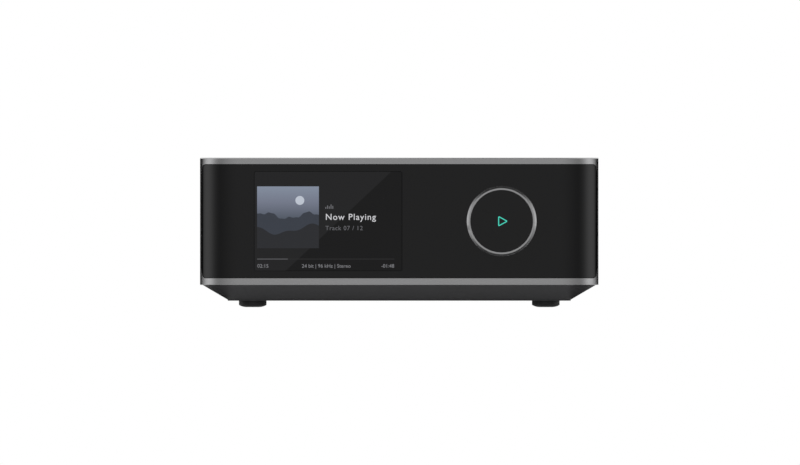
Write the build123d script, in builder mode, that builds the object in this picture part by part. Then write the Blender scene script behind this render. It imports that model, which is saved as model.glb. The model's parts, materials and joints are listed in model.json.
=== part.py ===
"""Network music streamer: a square aluminium box with a gloss front that wraps both front corners,
a colour display, a turning volume ring with a push button in its middle, and a bank of rear sockets.

Millimetres. X runs to the right as the user sees it, Y runs to the back and Z up.
The origin is on the surface that the feet stand on, under the middle of the box.
"""

import os

from build123d import *

os.makedirs("parts", exist_ok=True)

# Casing
body_width = 205.0
body_depth = 205.0
corner_radius = 20.0
housing_height = 65.5
base_height = 8.1
foot_stand = 3.3
housing_wall = 3.0
roof_thickness = 2.6
lower_band = 3.4
upper_band = 3.3
edge_break = 0.4
overrun = 1.0

# Gloss fascia in the front opening
fascia_wrap = 16.5
fascia_end_radius = 7.0
fascia_thickness = 2.2
fascia_recess = 0.3
fascia_gap = 0.15
boss_radius = 3.0
boss_display_gap = 0.4
boss_board_gap = 3.3
boss_rise = 21.0

# Base tray
base_inset = 1.3
base_taper = 13.0
base_lip = 0.5
base_wall = 2.6
base_floor = 2.0
rim_height = 3.0
rim_wall = 2.0
rim_gap = 0.2
pad_radius = 5.5
pad_height = 2.4
post_radius = 4.0
slot_length = 26.0
slot_width = 2.2
slot_pitch = 5.5
slot_count = 7
slot_x = 38.0

# Feet
foot_radius = 7.1
foot_seat = 0.8
foot_gap = 0.15
foot_edge_height = 1.1
foot_flat_radius = 3.2
foot_inset = 12.8

# Screws
base_screw_radius = 1.5
base_screw_length = 14.0
base_screw_head_radius = 2.9
base_screw_head_height = 1.8
small_screw_radius = 1.2
small_screw_length = 6.0
small_screw_head_radius = 2.4
small_screw_head_height = 1.4
screw_gap = 0.2
screw_tip_gap = 0.5
socket_radius_share = 0.5
socket_depth_share = 0.6

# Circuit boards
board_thickness = 1.6
board_lift = 11.5
standoff_radius = 3.2
board_edge_inset = 5.0
board_post_gap = 0.8
board_rear_clearance = 4.0
main_side_gap = 11.5
main_front_setback = 60.5
power_side_gap = 7.5
power_front_setback = 40.5
power_width = 42.5
board_gap = 1.5

# Rear panel and the lugs that it is screwed to
rear_window_inset = 22.5
rear_window_radius = 5.0
rear_recess = 1.0
rear_gap = 0.15
lug_size = 8.0
lug_thickness = 3.5
lug_overlap = 3.0
lug_inset = 1.5
cutout_gap = 0.25
socket_proud = 0.4

# Phono sockets, two in each block
phono_x = (65.5, 50.5, 35.5)
phono_low = 11.0
phono_pitch = 16.0
phono_margin = 6.4
phono_block_width = 12.0
phono_block_depth = 12.0
phono_seat = 6.0
phono_stand = 9.3
phono_sleeve_radius = 4.15
phono_sleeve_wall = 0.65
phono_collar_radius = 5.4
phono_collar_thickness = 1.0
phono_insert_setback = 0.5
phono_pin_radius = 1.65
phono_pin_depth = 14.0
seat_gap = 0.05

# Optical sockets, in and out in one block, each with a hinged shutter
optical_x = 22.5
optical_low = 7.0
optical_pitch = 13.5
optical_margin = 5.6
optical_width = 9.8
optical_depth = 13.0
optical_bore = 7.4
optical_bore_depth = 10.0
optical_tip_radius = 1.3
optical_tip_length = 2.0
shutter_gap = 0.2
shutter_thickness = 0.8
shutter_setback = 0.3
shutter_pin_radius = 0.5
shutter_pin_gap = 0.06
shutter_pin_reach = 0.5
shutter_pin_play = 0.2
shutter_pin_drop = 0.75

# Video, memory, network, trigger and mains sockets
hdmi_x = 9.0
hdmi_width = 15.0
hdmi_height = 5.6
hdmi_bevel = 1.9
hdmi_depth = 11.5
hdmi_tongue_width = 11.6
hdmi_tongue_thickness = 1.2
usb_x = -7.5
usb_width = 13.2
usb_height = 5.8
usb_depth = 13.5
usb_tongue_width = 11.0
usb_tongue_thickness = 1.8
usb_tongue_rise = 1.0
shell_wall = 0.4
shell_back = 2.0
tongue_setback = 0.8
network_x = -25.5
network_width = 16.0
network_height = 13.6
network_depth = 16.0
network_bore_width = 11.8
network_bore_height = 6.8
network_bore_depth = 13.0
network_bore_lift = 4.4
network_latch_width = 6.2
network_latch_height = 1.9
contact_count = 8
contact_pitch = 1.1
contact_width = 0.4
contact_thickness = 0.35
contact_setback = 2.0
trigger_x = -40.5
trigger_width = 8.0
trigger_height = 8.4
trigger_depth = 12.0
trigger_barrel = 3.4
trigger_bore = 1.8
trigger_bore_depth = 11.5
inlet_width = 22.0
inlet_height = 14.0
inlet_depth = 16.0
inlet_corner = 2.0
inlet_bore_width = 16.4
inlet_bore_height = 8.4
inlet_bore_depth = 11.0
inlet_pin_radius = 1.2
inlet_pin_pitch = 8.6
inlet_pin_setback = 2.0

# Volume ring and play button, measured out from the fascia
knob_inset = 49.8
knob_radius = 18.0
knob_stand = 8.8
knob_gap = 0.5
knob_bevel = 1.1
skirt_width = 1.6
cap_radius = 16.0
cap_gap = 0.12
cap_setback = 0.05
cap_thickness = 1.8
cap_edge_break = 0.15
cup_depth = 5.8
web_thickness = 1.6
hub_radius = 11.0
hub_wall = 1.8
hub_hole_gap = 0.6
hub_run_gap = 0.05
stem_radius = 6.0
stem_run_gap = 0.08
stem_seat = 0.9
guide_wall = 2.6
guide_clearance = 1.2
guide_flange = 1.2
guide_flange_thickness = 1.0
button_travel = 0.5
symbol_width = 5.9
symbol_height = 6.2
symbol_stroke = 0.85
symbol_corner = 0.5
symbol_depth = 0.5
symbol_shift = 0.3

# Rotary encoder and button switch behind the fascia
encoder_side_wall = 2.5
encoder_corner = 3.0
encoder_wall = 1.3
encoder_standoff = 1.4
rotor_wall = 2.0
rotor_length = 5.0
rotor_gap = 0.3
detent_radius = 15.4
detent_thickness = 1.2
detent_count = 24
detent_notch = 0.7
knob_board_rim = 0.5
knob_board_lip = 2.5
switch_size = 6.0
switch_height = 3.4
plunger_radius = 1.6
plunger_stand = 0.9
plunger_root = 0.8
plunger_gap = 0.05
led_width = 1.4
led_length = 2.0
led_height = 0.8
led_offset = 4.6

# Display
display_inset = 65.9
glass_width = 75.9
glass_height = 51.0
glass_corner = 0.8
glass_thickness = 1.1
glass_gap = 0.08
glass_ledge = 1.2
gasket_thickness = 0.5
gasket_width = 1.8
gasket_setback = 0.3
panel_side_margin = 2.05
panel_end_margin = 2.7
panel_thickness = 1.6
tray_thickness = 1.8
tray_wall = 0.5
tray_floor = 0.5
tray_gap = 0.1
bracket_band = 6.0
bracket_thickness = 1.2

# Front chassis plate and ribbon cables
chassis_margin = 4.0
chassis_thickness = 1.5
chassis_top_gap = 2.0
tab_inset = 44.5
tab_width = 14.0
tab_depth = 9.0
ribbon_thickness = 0.3
ribbon_z = 28.0
ribbon_bend = 3.0
ribbon_slot_gap = 0.8
display_ribbon_width = 16.0
knob_ribbon_width = 12.0
connector_margin = 2.0
connector_depth = 5.0
connector_height = 3.0
connector_setback = 9.0

# Parts on the main board
shield_share = (0.47, 0.335)
shield_size = 32.0
shield_height = 3.2
shield_wall = 0.4
fin_base = 2.0
fin_height = 9.0
fin_thickness = 1.0
fin_pitch = 3.4
fin_count = 9
wireless_share = (0.809, 0.364)
wireless_width = 22.0
wireless_depth = 16.0
wireless_board_thickness = 0.8
wireless_can_height = 1.8
wireless_can_margin = 1.0
antenna_x = 44.0
antenna_width = 32.0
antenna_height = 8.0
antenna_thickness = 0.8
antenna_z = 64.0
chip_size = 10.0
chip_height = 1.4
chip_share = (0.735, 0.596)
chip_pitch = 15.0
can_radius = 4.0
can_height = 12.0
can_pitch = 10.0
can_column_count = 4
can_row_count = 2
can_share = (0.706, 0.771)
can_bead = 0.4

# Parts on the power board
sheet_thickness = 0.4
sheet_margin = 9.0
sheet_hole_gap = 0.6
transformer_share = (0.471, 0.267)
core_width = 30.0
core_depth = 12.0
core_height = 26.0
winding_width = 22.0
winding_depth = 26.0
winding_height = 18.0
winding_radius = 6.0
bulk_radius = 9.0
bulk_height = 28.0
bulk_share = (0.376, 0.457)
choke_share = (0.518, 0.698)
choke_ring_radius = 6.6
choke_section = 6.8
choke_bevel = 1.6
fuse_share = (0.776, 0.825)
fuse_radius = 2.6
fuse_length = 20.0
fuse_lift = 1.6
fuse_clip_width = 6.4
fuse_clip_length = 3.0
sink_share = (0.518, 0.127)
sink_width = 30.0
sink_plate = 2.0
sink_height = 24.0
sink_fin_length = 7.0
sink_fin_thickness = 1.2
sink_fin_pitch = 4.6
sink_fin_count = 6

# Levels that follow from the casing sizes
front_y = -body_depth / 2
rear_y = body_depth / 2
base_z = foot_stand
housing_z = base_z + base_height
top_z = housing_z + housing_height
roof_z = top_z - roof_thickness
window_z = housing_z + lower_band
window_height = housing_height - lower_band - upper_band
middle_z = window_z + window_height / 2
inner_width = body_width - 2 * housing_wall
inner_depth = body_depth - 2 * housing_wall
inner_radius = corner_radius - housing_wall
floor_z = base_z + base_floor
foot_seat_z = base_z + foot_seat
pad_z = floor_z + pad_height
screw_seat_z = foot_seat_z + base_screw_head_height + screw_gap
board_z = floor_z + board_lift
board_top_z = board_z + board_thickness
board_rear_y = rear_y - housing_wall - board_rear_clearance
main_front_y = front_y + main_front_setback
main_right_x = inner_width / 2 - main_side_gap
power_front_y = front_y + power_front_setback
power_left_x = power_side_gap - inner_width / 2
power_right_x = power_left_x + power_width
main_left_x = power_right_x + board_gap
panel_y = rear_y - rear_recess
panel_back_y = rear_y - housing_wall
socket_y = panel_y + socket_proud
base_top_width = body_width - 2 * base_inset
base_top_depth = body_depth - 2 * base_inset
base_low_width = base_top_width - 2 * base_taper
base_low_depth = base_top_depth - 2 * base_taper
foot_x = base_low_width / 2 - foot_inset
foot_y = base_low_depth / 2 - foot_inset
rear_window_width = body_width - 2 * rear_window_inset
inlet_x = power_right_x - inlet_width / 2
tab_x = body_width / 2 - tab_inset

# Levels of the front stack
face_y = front_y + fascia_recess
fascia_back_y = face_y + fascia_thickness
gasket_y = fascia_back_y
lcd_y = gasket_y + gasket_thickness
tray_y = lcd_y + panel_thickness
bracket_y = tray_y + tray_thickness
encoder_y = fascia_back_y + encoder_standoff
rotor_y = encoder_y + encoder_wall + rotor_gap
rotor_back_y = rotor_y + rotor_length
knob_board_y = rotor_back_y + rotor_gap
chassis_y = knob_board_y + board_thickness
chassis_back_y = chassis_y + chassis_thickness
knob_x = body_width / 2 - knob_inset
knob_z = middle_z
encoder_size = 2 * (detent_radius + 2 * rotor_gap + encoder_side_wall)
knob_board_width = encoder_size + 2 * knob_board_rim
knob_board_height = encoder_size + 2 * knob_board_lip
display_x = display_inset - body_width / 2
panel_width = glass_width + 2 * panel_side_margin
panel_height = glass_height + 2 * panel_end_margin
boss_left_x = display_x - panel_width / 2 - boss_display_gap - boss_radius
boss_middle_x = (display_x + panel_width / 2 + knob_x - encoder_size / 2) / 2
boss_right_x = knob_x + knob_board_width / 2 + boss_board_gap + boss_radius
knob_back_y = face_y - knob_gap
knob_front_y = face_y - knob_stand
cup_y = knob_front_y + cup_depth
web_back_y = cup_y + web_thickness
hub_back_y = knob_board_y - guide_flange_thickness - rotor_gap
cap_y = knob_front_y + cap_setback
cap_back_y = cap_y + cap_thickness
stem_y = cap_back_y - stem_seat
switch_y = knob_board_y - switch_height
plunger_y = switch_y - plunger_stand
guide_inner = stem_radius + stem_run_gap
guide_radius = guide_inner + guide_wall
guide_y = cap_back_y + button_travel + guide_clearance


def level(z):
    """Flat sketch plane at height z."""
    return Plane.XY.offset(z)


def facing(y):
    """Upright sketch plane at y, read as (x, z) from the front. Extrusion runs to the front."""
    return Plane(origin=(0, y, 0), x_dir=(1, 0, 0), z_dir=(0, -1, 0))


def rearward(y):
    """Upright sketch plane at y, read as (x, -z). Extrusion runs to the back."""
    return Plane(origin=(0, y, 0), x_dir=(1, 0, 0), z_dir=(0, 1, 0))


def on_main(share):
    """Place on the main board, from shares of its width and length."""
    return (
        main_left_x + share[0] * (main_right_x - main_left_x),
        main_front_y + share[1] * (board_rear_y - main_front_y),
    )


def on_power(share):
    """Place on the power board, from shares of its width and length."""
    return (power_left_x + share[0] * power_width, power_front_y + share[1] * (board_rear_y - power_front_y))


def store(piece, name):
    """Labels a finished piece and writes its STEP file."""
    piece.part.label = name
    export_step(piece.part, f"parts/{name}.step")


def turned(x, z, outline):
    """Solid of revolution about the line along Y through (x, z), from (radius, y) corners."""
    with BuildPart() as piece:
        with BuildSketch(level(z)):
            with BuildLine():
                Polyline(*[(x + radius, y) for radius, y in outline], close=True)
            make_face()
        revolve(axis=Axis((x, 0, z), (0, 1, 0)))
    return piece


def screws(seat, places, radius, length, head_radius, head_height):
    """Socket screws: each head stands on the seat plane and its shank runs below it."""
    with BuildPart() as group:
        with BuildSketch(seat):
            with Locations(*places):
                Circle(head_radius)
        extrude(amount=head_height)
        with BuildSketch(seat):
            with Locations(*places):
                Circle(radius)
        extrude(amount=-length)
        with BuildSketch(seat.offset(head_height)):
            with Locations(*places):
                RegularPolygon(head_radius * socket_radius_share, 6)
        extrude(amount=-head_height * socket_depth_share, mode=Mode.SUBTRACT)
    return group


def small_screws(seat, places):
    """Group of the small machine screws that hold the boards, the chassis and the rear panel."""
    return screws(
        seat,
        places,
        small_screw_radius,
        small_screw_length - screw_tip_gap,
        small_screw_head_radius,
        small_screw_head_height,
    )


def front_wrap(gap):
    """The front opening as a block across the whole width, with rounded far corners in side view."""
    reach = fascia_wrap + gap + overrun
    with BuildPart() as wrap:
        with BuildSketch(Plane.YZ.offset(-body_width)) as side:
            with Locations((front_y + fascia_wrap + gap - reach / 2, middle_z)):
                Rectangle(reach, window_height + 2 * gap)
            fillet(side.vertices().sort_by(Axis.X)[-2:], fascia_end_radius + gap)
        extrude(amount=2 * body_width)
    return wrap


def board(left, right, front, standoffs, post):
    """Circuit board with screw holes at its standoffs and a round hole for a casing post."""
    with BuildPart() as piece:
        with BuildSketch(level(board_z)):
            with Locations(((left + right) / 2, (front + board_rear_y) / 2)):
                Rectangle(right - left, board_rear_y - front)
            with Locations(*standoffs):
                Circle(small_screw_radius + screw_gap, mode=Mode.SUBTRACT)
            with Locations(post):
                Circle(post_radius + board_post_gap, mode=Mode.SUBTRACT)
        extrude(amount=board_thickness)
    return piece


# Places shared by several pieces
foot_places = [(x, y) for x in (-foot_x, foot_x) for y in (-foot_y, foot_y)]
boss_places = [
    (x, middle_z + rise)
    for x in (boss_left_x, boss_middle_x, boss_right_x)
    for rise in (-boss_rise, boss_rise)
]
shield_x, shield_y = on_main(shield_share)
wireless_x, wireless_y = on_main(wireless_share)
chip_x, chip_y = on_main(chip_share)
can_x, can_y = on_main(can_share)
transformer_x, transformer_y = on_power(transformer_share)
bulk_x, bulk_y = on_power(bulk_share)
choke_x, choke_y = on_power(choke_share)
fuse_x, fuse_y = on_power(fuse_share)
sink_x, sink_y = on_power(sink_share)
main_middle_y = (main_front_y + board_rear_y) / 2
power_middle_y = (power_front_y + board_rear_y) / 2
main_standoffs = [
    (x, y)
    for x in (main_left_x + board_edge_inset, main_right_x - board_edge_inset)
    for y in (main_front_y + board_edge_inset, main_middle_y)
]
power_standoffs = [
    (power_left_x + board_edge_inset, power_front_y + board_edge_inset),
    (power_right_x - board_edge_inset, power_middle_y),
]
lug_x = rear_window_width / 2 - lug_size / 2
lug_rise = window_height / 2 - lug_inset - lug_size / 2
lug_places = [(x, middle_z + rise) for x in (-lug_x, lug_x) for rise in (-lug_rise, lug_rise)]
lug_seats = [
    (side * (lug_x + lug_overlap / 2), middle_z + rise)
    for side in (-1, 1)
    for rise in (-lug_rise, lug_rise)
]
tab_places = [(x, chassis_back_y + tab_depth / 2) for x in (-tab_x, tab_x)]
phono_low_z = board_top_z + phono_low
phono_places = [(x, phono_low_z + rise) for x in phono_x for rise in (0, phono_pitch)]
optical_low_z = board_top_z + optical_low
optical_levels = (optical_low_z, optical_low_z + optical_pitch)
optical_height = optical_low + optical_pitch + optical_margin
inlet_z = board_top_z + inlet_height / 2
trigger_z = board_top_z + trigger_height / 2
hdmi_z = board_top_z + hdmi_height / 2
usb_z = board_top_z + usb_height / 2
network_z = board_top_z + network_height / 2
network_bore_z = board_top_z + network_bore_lift + network_bore_height / 2
network_latch_z = network_bore_z - network_bore_height / 2 - network_latch_height / 2

# Housing: one aluminium shell, open below, in front and at the back, with four screw posts
front_opening = front_wrap(0)
with BuildPart() as housing:
    with BuildSketch(level(housing_z)):
        RectangleRounded(body_width, body_depth, corner_radius)
    extrude(amount=housing_height)
    chamfer(housing.faces().sort_by(Axis.Z)[-1].edges(), edge_break)
    with BuildSketch(level(housing_z)):
        RectangleRounded(inner_width, inner_depth, inner_radius)
    extrude(amount=housing_height - roof_thickness, mode=Mode.SUBTRACT)
    add(front_opening.part, mode=Mode.SUBTRACT)
    with BuildSketch(facing(rear_y + overrun)):
        with Locations((0, middle_z)):
            RectangleRounded(rear_window_width, window_height, rear_window_radius)
    extrude(amount=housing_wall + 2 * overrun, mode=Mode.SUBTRACT)
    with BuildSketch(facing(panel_back_y)):
        with Locations(*lug_seats):
            Rectangle(lug_size + lug_overlap, lug_size)
    extrude(amount=lug_thickness)
    with BuildSketch(facing(panel_back_y)):
        with Locations(*lug_places):
            Circle(small_screw_radius + screw_gap)
    extrude(amount=lug_thickness, mode=Mode.SUBTRACT)
    with BuildSketch(level(pad_z)):
        with Locations(*foot_places):
            Circle(post_radius)
    extrude(amount=roof_z - pad_z)
    with BuildSketch(level(pad_z)):
        with Locations(*foot_places):
            Circle(base_screw_radius + screw_gap)
    extrude(amount=base_screw_length, mode=Mode.SUBTRACT)
store(housing, "housing")

# Base: tapered plastic tray with board standoffs, screw pads and ventilation slots
base_top_radius = corner_radius - base_inset
base_low_radius = base_top_radius - base_taper
rim_inset = rim_gap + rim_wall
with BuildPart() as base:
    with BuildSketch(level(base_z)):
        RectangleRounded(base_low_width, base_low_depth, base_low_radius)
    extrude(amount=base_lip)
    with BuildSketch(level(base_z + base_lip)):
        RectangleRounded(base_low_width, base_low_depth, base_low_radius)
    with BuildSketch(level(housing_z)):
        RectangleRounded(base_top_width, base_top_depth, base_top_radius)
    loft(ruled=True)
    with BuildSketch(level(housing_z)):
        RectangleRounded(inner_width - 2 * rim_gap, inner_depth - 2 * rim_gap, inner_radius - rim_gap)
    extrude(amount=rim_height)
    with BuildSketch(level(floor_z)):
        RectangleRounded(
            base_low_width - 2 * base_wall, base_low_depth - 2 * base_wall, base_low_radius - base_wall
        )
    with BuildSketch(level(housing_z)):
        RectangleRounded(inner_width - 2 * rim_inset, inner_depth - 2 * rim_inset, inner_radius - rim_inset)
    loft(ruled=True, mode=Mode.SUBTRACT)
    with BuildSketch(level(housing_z)):
        RectangleRounded(inner_width - 2 * rim_inset, inner_depth - 2 * rim_inset, inner_radius - rim_inset)
    extrude(amount=rim_height, mode=Mode.SUBTRACT)
    with BuildSketch(level(floor_z)):
        with Locations(*foot_places):
            Circle(pad_radius)
    extrude(amount=pad_height)
    with BuildSketch(level(floor_z)):
        with Locations(*main_standoffs, *power_standoffs):
            Circle(standoff_radius)
    extrude(amount=board_lift)
    with BuildSketch(level(floor_z)):
        with Locations(*tab_places):
            Rectangle(tab_width, tab_depth)
    extrude(amount=housing_z - floor_z)
    with BuildSketch(level(base_z)):
        with Locations(*foot_places):
            Circle(foot_radius + foot_gap)
    extrude(amount=foot_seat, mode=Mode.SUBTRACT)
    with BuildSketch(level(foot_seat_z)):
        with Locations(*foot_places):
            Circle(base_screw_head_radius + screw_gap)
    extrude(amount=screw_seat_z - foot_seat_z, mode=Mode.SUBTRACT)
    with BuildSketch(level(screw_seat_z)):
        with Locations(*foot_places):
            Circle(base_screw_radius + screw_gap)
    extrude(amount=pad_z - screw_seat_z, mode=Mode.SUBTRACT)
    with BuildSketch(level(board_z)):
        with Locations(*main_standoffs, *power_standoffs):
            Circle(small_screw_radius + screw_gap)
    extrude(amount=-small_screw_length, mode=Mode.SUBTRACT)
    with BuildSketch(level(housing_z)):
        with Locations(*tab_places):
            Circle(small_screw_radius + screw_gap)
    extrude(amount=floor_z - housing_z, mode=Mode.SUBTRACT)
    with BuildSketch(level(base_z - overrun)):
        with Locations((-slot_x, 0), (slot_x, 0)):
            with GridLocations(0, slot_pitch, 1, slot_count):
                SlotOverall(slot_length, slot_width)
    extrude(amount=base_floor + 2 * overrun, mode=Mode.SUBTRACT)
store(base, "base")

# Base screws: up through the base pads into the housing posts, under the feet
base_screws = screws(
    Plane(origin=(0, 0, screw_seat_z), x_dir=(1, 0, 0), z_dir=(0, 0, -1)),
    foot_places,
    base_screw_radius,
    pad_z + base_screw_length - screw_tip_gap - screw_seat_z,
    base_screw_head_radius,
    base_screw_head_height,
)
store(base_screws, "base_screws")

# Feet: four domed rubber pads glued into the base recesses
with BuildPart() as foot:
    with BuildSketch(Plane.XZ):
        with BuildLine():
            Line((0, 0), (foot_flat_radius, 0))
            TangentArc((foot_flat_radius, 0), (foot_radius, foot_edge_height), tangent=(1, 0))
            Polyline((foot_radius, foot_edge_height), (foot_radius, foot_seat_z), (0, foot_seat_z), (0, 0))
        make_face()
    revolve(axis=Axis.Z)
with BuildPart() as feet:
    with Locations(*foot_places):
        add(foot.part)
store(feet, "feet")

# Fascia: gloss black front that wraps both corners, with a stepped display window and six bosses
fascia_block = front_wrap(-fascia_gap)
fascia_inset = fascia_recess + fascia_thickness
window_width = glass_width + 2 * glass_gap
window_rise = glass_height + 2 * glass_gap
view_width = glass_width - 2 * glass_ledge
view_height = glass_height - 2 * glass_ledge
with BuildPart() as fascia:
    with BuildSketch(level(window_z)):
        RectangleRounded(
            body_width - 2 * fascia_recess, body_depth - 2 * fascia_recess, corner_radius - fascia_recess
        )
        RectangleRounded(
            body_width - 2 * fascia_inset,
            body_depth - 2 * fascia_inset,
            corner_radius - fascia_inset,
            mode=Mode.SUBTRACT,
        )
    extrude(amount=window_height)
    add(fascia_block.part, mode=Mode.INTERSECT)
    with BuildSketch(facing(chassis_y)):
        with Locations(*boss_places):
            Circle(boss_radius)
    extrude(amount=chassis_y - fascia_back_y)
    with BuildSketch(facing(chassis_y)):
        with Locations(*boss_places):
            Circle(small_screw_radius + screw_gap)
    extrude(amount=small_screw_length, mode=Mode.SUBTRACT)
    with BuildSketch(facing(face_y + glass_thickness)):
        with Locations((display_x, middle_z)):
            RectangleRounded(window_width, window_rise, glass_corner + glass_gap)
    extrude(amount=glass_thickness + overrun, mode=Mode.SUBTRACT)
    with BuildSketch(facing(fascia_back_y + overrun)):
        with Locations((display_x, middle_z)):
            Rectangle(view_width, view_height)
    extrude(amount=fascia_thickness + 2 * overrun, mode=Mode.SUBTRACT)
    with BuildSketch(facing(fascia_back_y + overrun)):
        with Locations((knob_x, knob_z)):
            Circle(hub_radius + hub_hole_gap)
    extrude(amount=fascia_thickness + 2 * overrun, mode=Mode.SUBTRACT)
store(fascia, "fascia")

# Display cover glass, flush with the fascia
with BuildPart() as display_glass:
    with BuildSketch(facing(face_y + glass_thickness)):
        with Locations((display_x, middle_z)):
            RectangleRounded(glass_width, glass_height, glass_corner)
    extrude(amount=glass_thickness)
store(display_glass, "display_glass")

# Display gasket: foam frame between the fascia and the panel
gasket_inner_width = view_width + 2 * gasket_setback
gasket_inner_height = view_height + 2 * gasket_setback
with BuildPart() as display_gasket:
    with BuildSketch(facing(lcd_y)):
        with Locations((display_x, middle_z)):
            Rectangle(gasket_inner_width + 2 * gasket_width, gasket_inner_height + 2 * gasket_width)
            Rectangle(gasket_inner_width, gasket_inner_height, mode=Mode.SUBTRACT)
    extrude(amount=gasket_thickness)
store(display_gasket, "display_gasket")

# Display panel: the liquid crystal cell
with BuildPart() as display_panel:
    with BuildSketch(facing(tray_y)):
        with Locations((display_x, middle_z)):
            Rectangle(panel_width, panel_height)
    extrude(amount=panel_thickness)
store(display_panel, "display_panel")

# Display tray: pressed steel pan that carries the backlight
with BuildPart() as display_tray:
    with BuildSketch(facing(bracket_y)):
        with Locations((display_x, middle_z)):
            Rectangle(panel_width, panel_height)
    extrude(amount=tray_thickness)
    with BuildSketch(facing(bracket_y - tray_floor)):
        with Locations((display_x, middle_z)):
            Rectangle(panel_width - 2 * tray_wall, panel_height - 2 * tray_wall)
    extrude(amount=tray_thickness, mode=Mode.SUBTRACT)
store(display_tray, "display_tray")

# Display backlight: light guide that lies in the tray
tray_inset = tray_wall + tray_gap
with BuildPart() as display_backlight:
    with BuildSketch(facing(bracket_y - tray_floor)):
        with Locations((display_x, middle_z)):
            Rectangle(panel_width - 2 * tray_inset, panel_height - 2 * tray_inset)
    extrude(amount=tray_thickness - tray_floor)
store(display_backlight, "display_backlight")

# Display bracket: frame with four corner legs that press the display against the fascia
with BuildPart() as display_bracket:
    with BuildSketch(facing(bracket_y + bracket_thickness)):
        with Locations((display_x, middle_z)):
            Rectangle(panel_width, panel_height)
            Rectangle(panel_width - 2 * bracket_band, panel_height - 2 * bracket_band, mode=Mode.SUBTRACT)
    extrude(amount=bracket_thickness)
    with BuildSketch(facing(chassis_y)):
        with Locations((display_x, middle_z)):
            with GridLocations(panel_width - bracket_band, panel_height - bracket_band, 2, 2):
                Rectangle(bracket_band, bracket_band)
    extrude(amount=chassis_y - bracket_y - bracket_thickness)
store(display_bracket, "display_bracket")

# Front chassis: bent steel plate behind the display and the encoder, on two tabs
chassis_height = roof_z - chassis_top_gap - housing_z
slot_height = ribbon_thickness + 2 * ribbon_slot_gap
with BuildPart() as front_chassis:
    with BuildSketch(facing(chassis_back_y)):
        with Locations(((boss_left_x + boss_right_x) / 2, housing_z + chassis_height / 2)):
            Rectangle(boss_right_x - boss_left_x + 2 * chassis_margin, chassis_height)
        with Locations(*boss_places):
            Circle(small_screw_radius + screw_gap, mode=Mode.SUBTRACT)
        with Locations((display_x, ribbon_z)):
            Rectangle(display_ribbon_width + 2 * ribbon_slot_gap, slot_height, mode=Mode.SUBTRACT)
        with Locations((knob_x, ribbon_z)):
            Rectangle(knob_ribbon_width + 2 * ribbon_slot_gap, slot_height, mode=Mode.SUBTRACT)
    extrude(amount=chassis_thickness)
    with BuildSketch(level(housing_z)):
        with Locations(*tab_places):
            Rectangle(tab_width, tab_depth)
            Circle(small_screw_radius + screw_gap, mode=Mode.SUBTRACT)
    extrude(amount=chassis_thickness)
store(front_chassis, "front_chassis")

# Chassis screws: six into the fascia bosses and two into the base
boss_screws = small_screws(rearward(chassis_back_y), [(x, -z) for x, z in boss_places])
tab_screws = screws(
    level(housing_z + chassis_thickness),
    tab_places,
    small_screw_radius,
    housing_z + chassis_thickness - floor_z - screw_tip_gap,
    small_screw_head_radius,
    small_screw_head_height,
)
with BuildPart() as chassis_screws:
    add(boss_screws.part)
    add(tab_screws.part)
store(chassis_screws, "chassis_screws")

# Volume ring: bevelled outer ring, cup for the button, and a hub that turns in the encoder
ring_inner = cap_radius + cap_gap
hub_inner = hub_radius - hub_wall
skirt_inner = knob_radius - skirt_width
volume_ring = turned(
    knob_x,
    knob_z,
    [
        (knob_radius, knob_back_y),
        (knob_radius, knob_front_y + knob_bevel),
        (knob_radius - knob_bevel, knob_front_y),
        (ring_inner, knob_front_y),
        (ring_inner, cup_y),
        (hub_inner, cup_y),
        (hub_inner, hub_back_y),
        (hub_radius, hub_back_y),
        (hub_radius, web_back_y),
        (skirt_inner, web_back_y),
        (skirt_inner, knob_back_y),
    ],
)
store(volume_ring, "volume_ring")

# Encoder rotor: sleeve on the hub with a notched detent flange
sleeve_inner = hub_radius + hub_run_gap
sleeve_outer = sleeve_inner + rotor_wall
with BuildPart() as encoder_rotor:
    with BuildSketch(facing(rotor_back_y)):
        with Locations((knob_x, knob_z)):
            Circle(sleeve_outer)
            Circle(sleeve_inner, mode=Mode.SUBTRACT)
    extrude(amount=rotor_length)
    with BuildSketch(facing(rotor_back_y)):
        with Locations((knob_x, knob_z)):
            Circle(detent_radius)
            Circle(sleeve_inner, mode=Mode.SUBTRACT)
            with PolarLocations(detent_radius, detent_count):
                Circle(detent_notch, mode=Mode.SUBTRACT)
    extrude(amount=detent_thickness)
store(encoder_rotor, "encoder_rotor")

# Encoder housing: moulded square cup whose front wall is the bearing of the hub
with BuildPart() as encoder_housing:
    with BuildSketch(facing(knob_board_y)):
        with Locations((knob_x, knob_z)):
            RectangleRounded(encoder_size, encoder_size, encoder_corner)
    extrude(amount=knob_board_y - encoder_y)
    with BuildSketch(facing(knob_board_y)):
        with Locations((knob_x, knob_z)):
            Circle(detent_radius + 2 * rotor_gap)
    extrude(amount=knob_board_y - rotor_y + rotor_gap, mode=Mode.SUBTRACT)
    with BuildSketch(facing(knob_board_y)):
        with Locations((knob_x, knob_z)):
            Circle(hub_radius + hub_run_gap)
    extrude(amount=knob_board_y - encoder_y + overrun, mode=Mode.SUBTRACT)
store(encoder_housing, "encoder_housing")

# Knob board: carries the encoder, the switch and the lights
with BuildPart() as knob_board:
    with BuildSketch(facing(chassis_y)):
        with Locations((knob_x, knob_z)):
            Rectangle(knob_board_width, knob_board_height)
    extrude(amount=board_thickness)
store(knob_board, "knob_board")

# Button guide: fixed tube that stands through the ring's hub and carries the button
flange_radius = guide_radius + guide_flange
flange_y = knob_board_y - guide_flange_thickness
button_guide = turned(
    knob_x,
    knob_z,
    [
        (guide_inner, guide_y),
        (guide_radius, guide_y),
        (guide_radius, flange_y),
        (flange_radius, flange_y),
        (flange_radius, knob_board_y),
        (guide_inner, knob_board_y),
    ],
)
store(button_guide, "button_guide")

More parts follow.
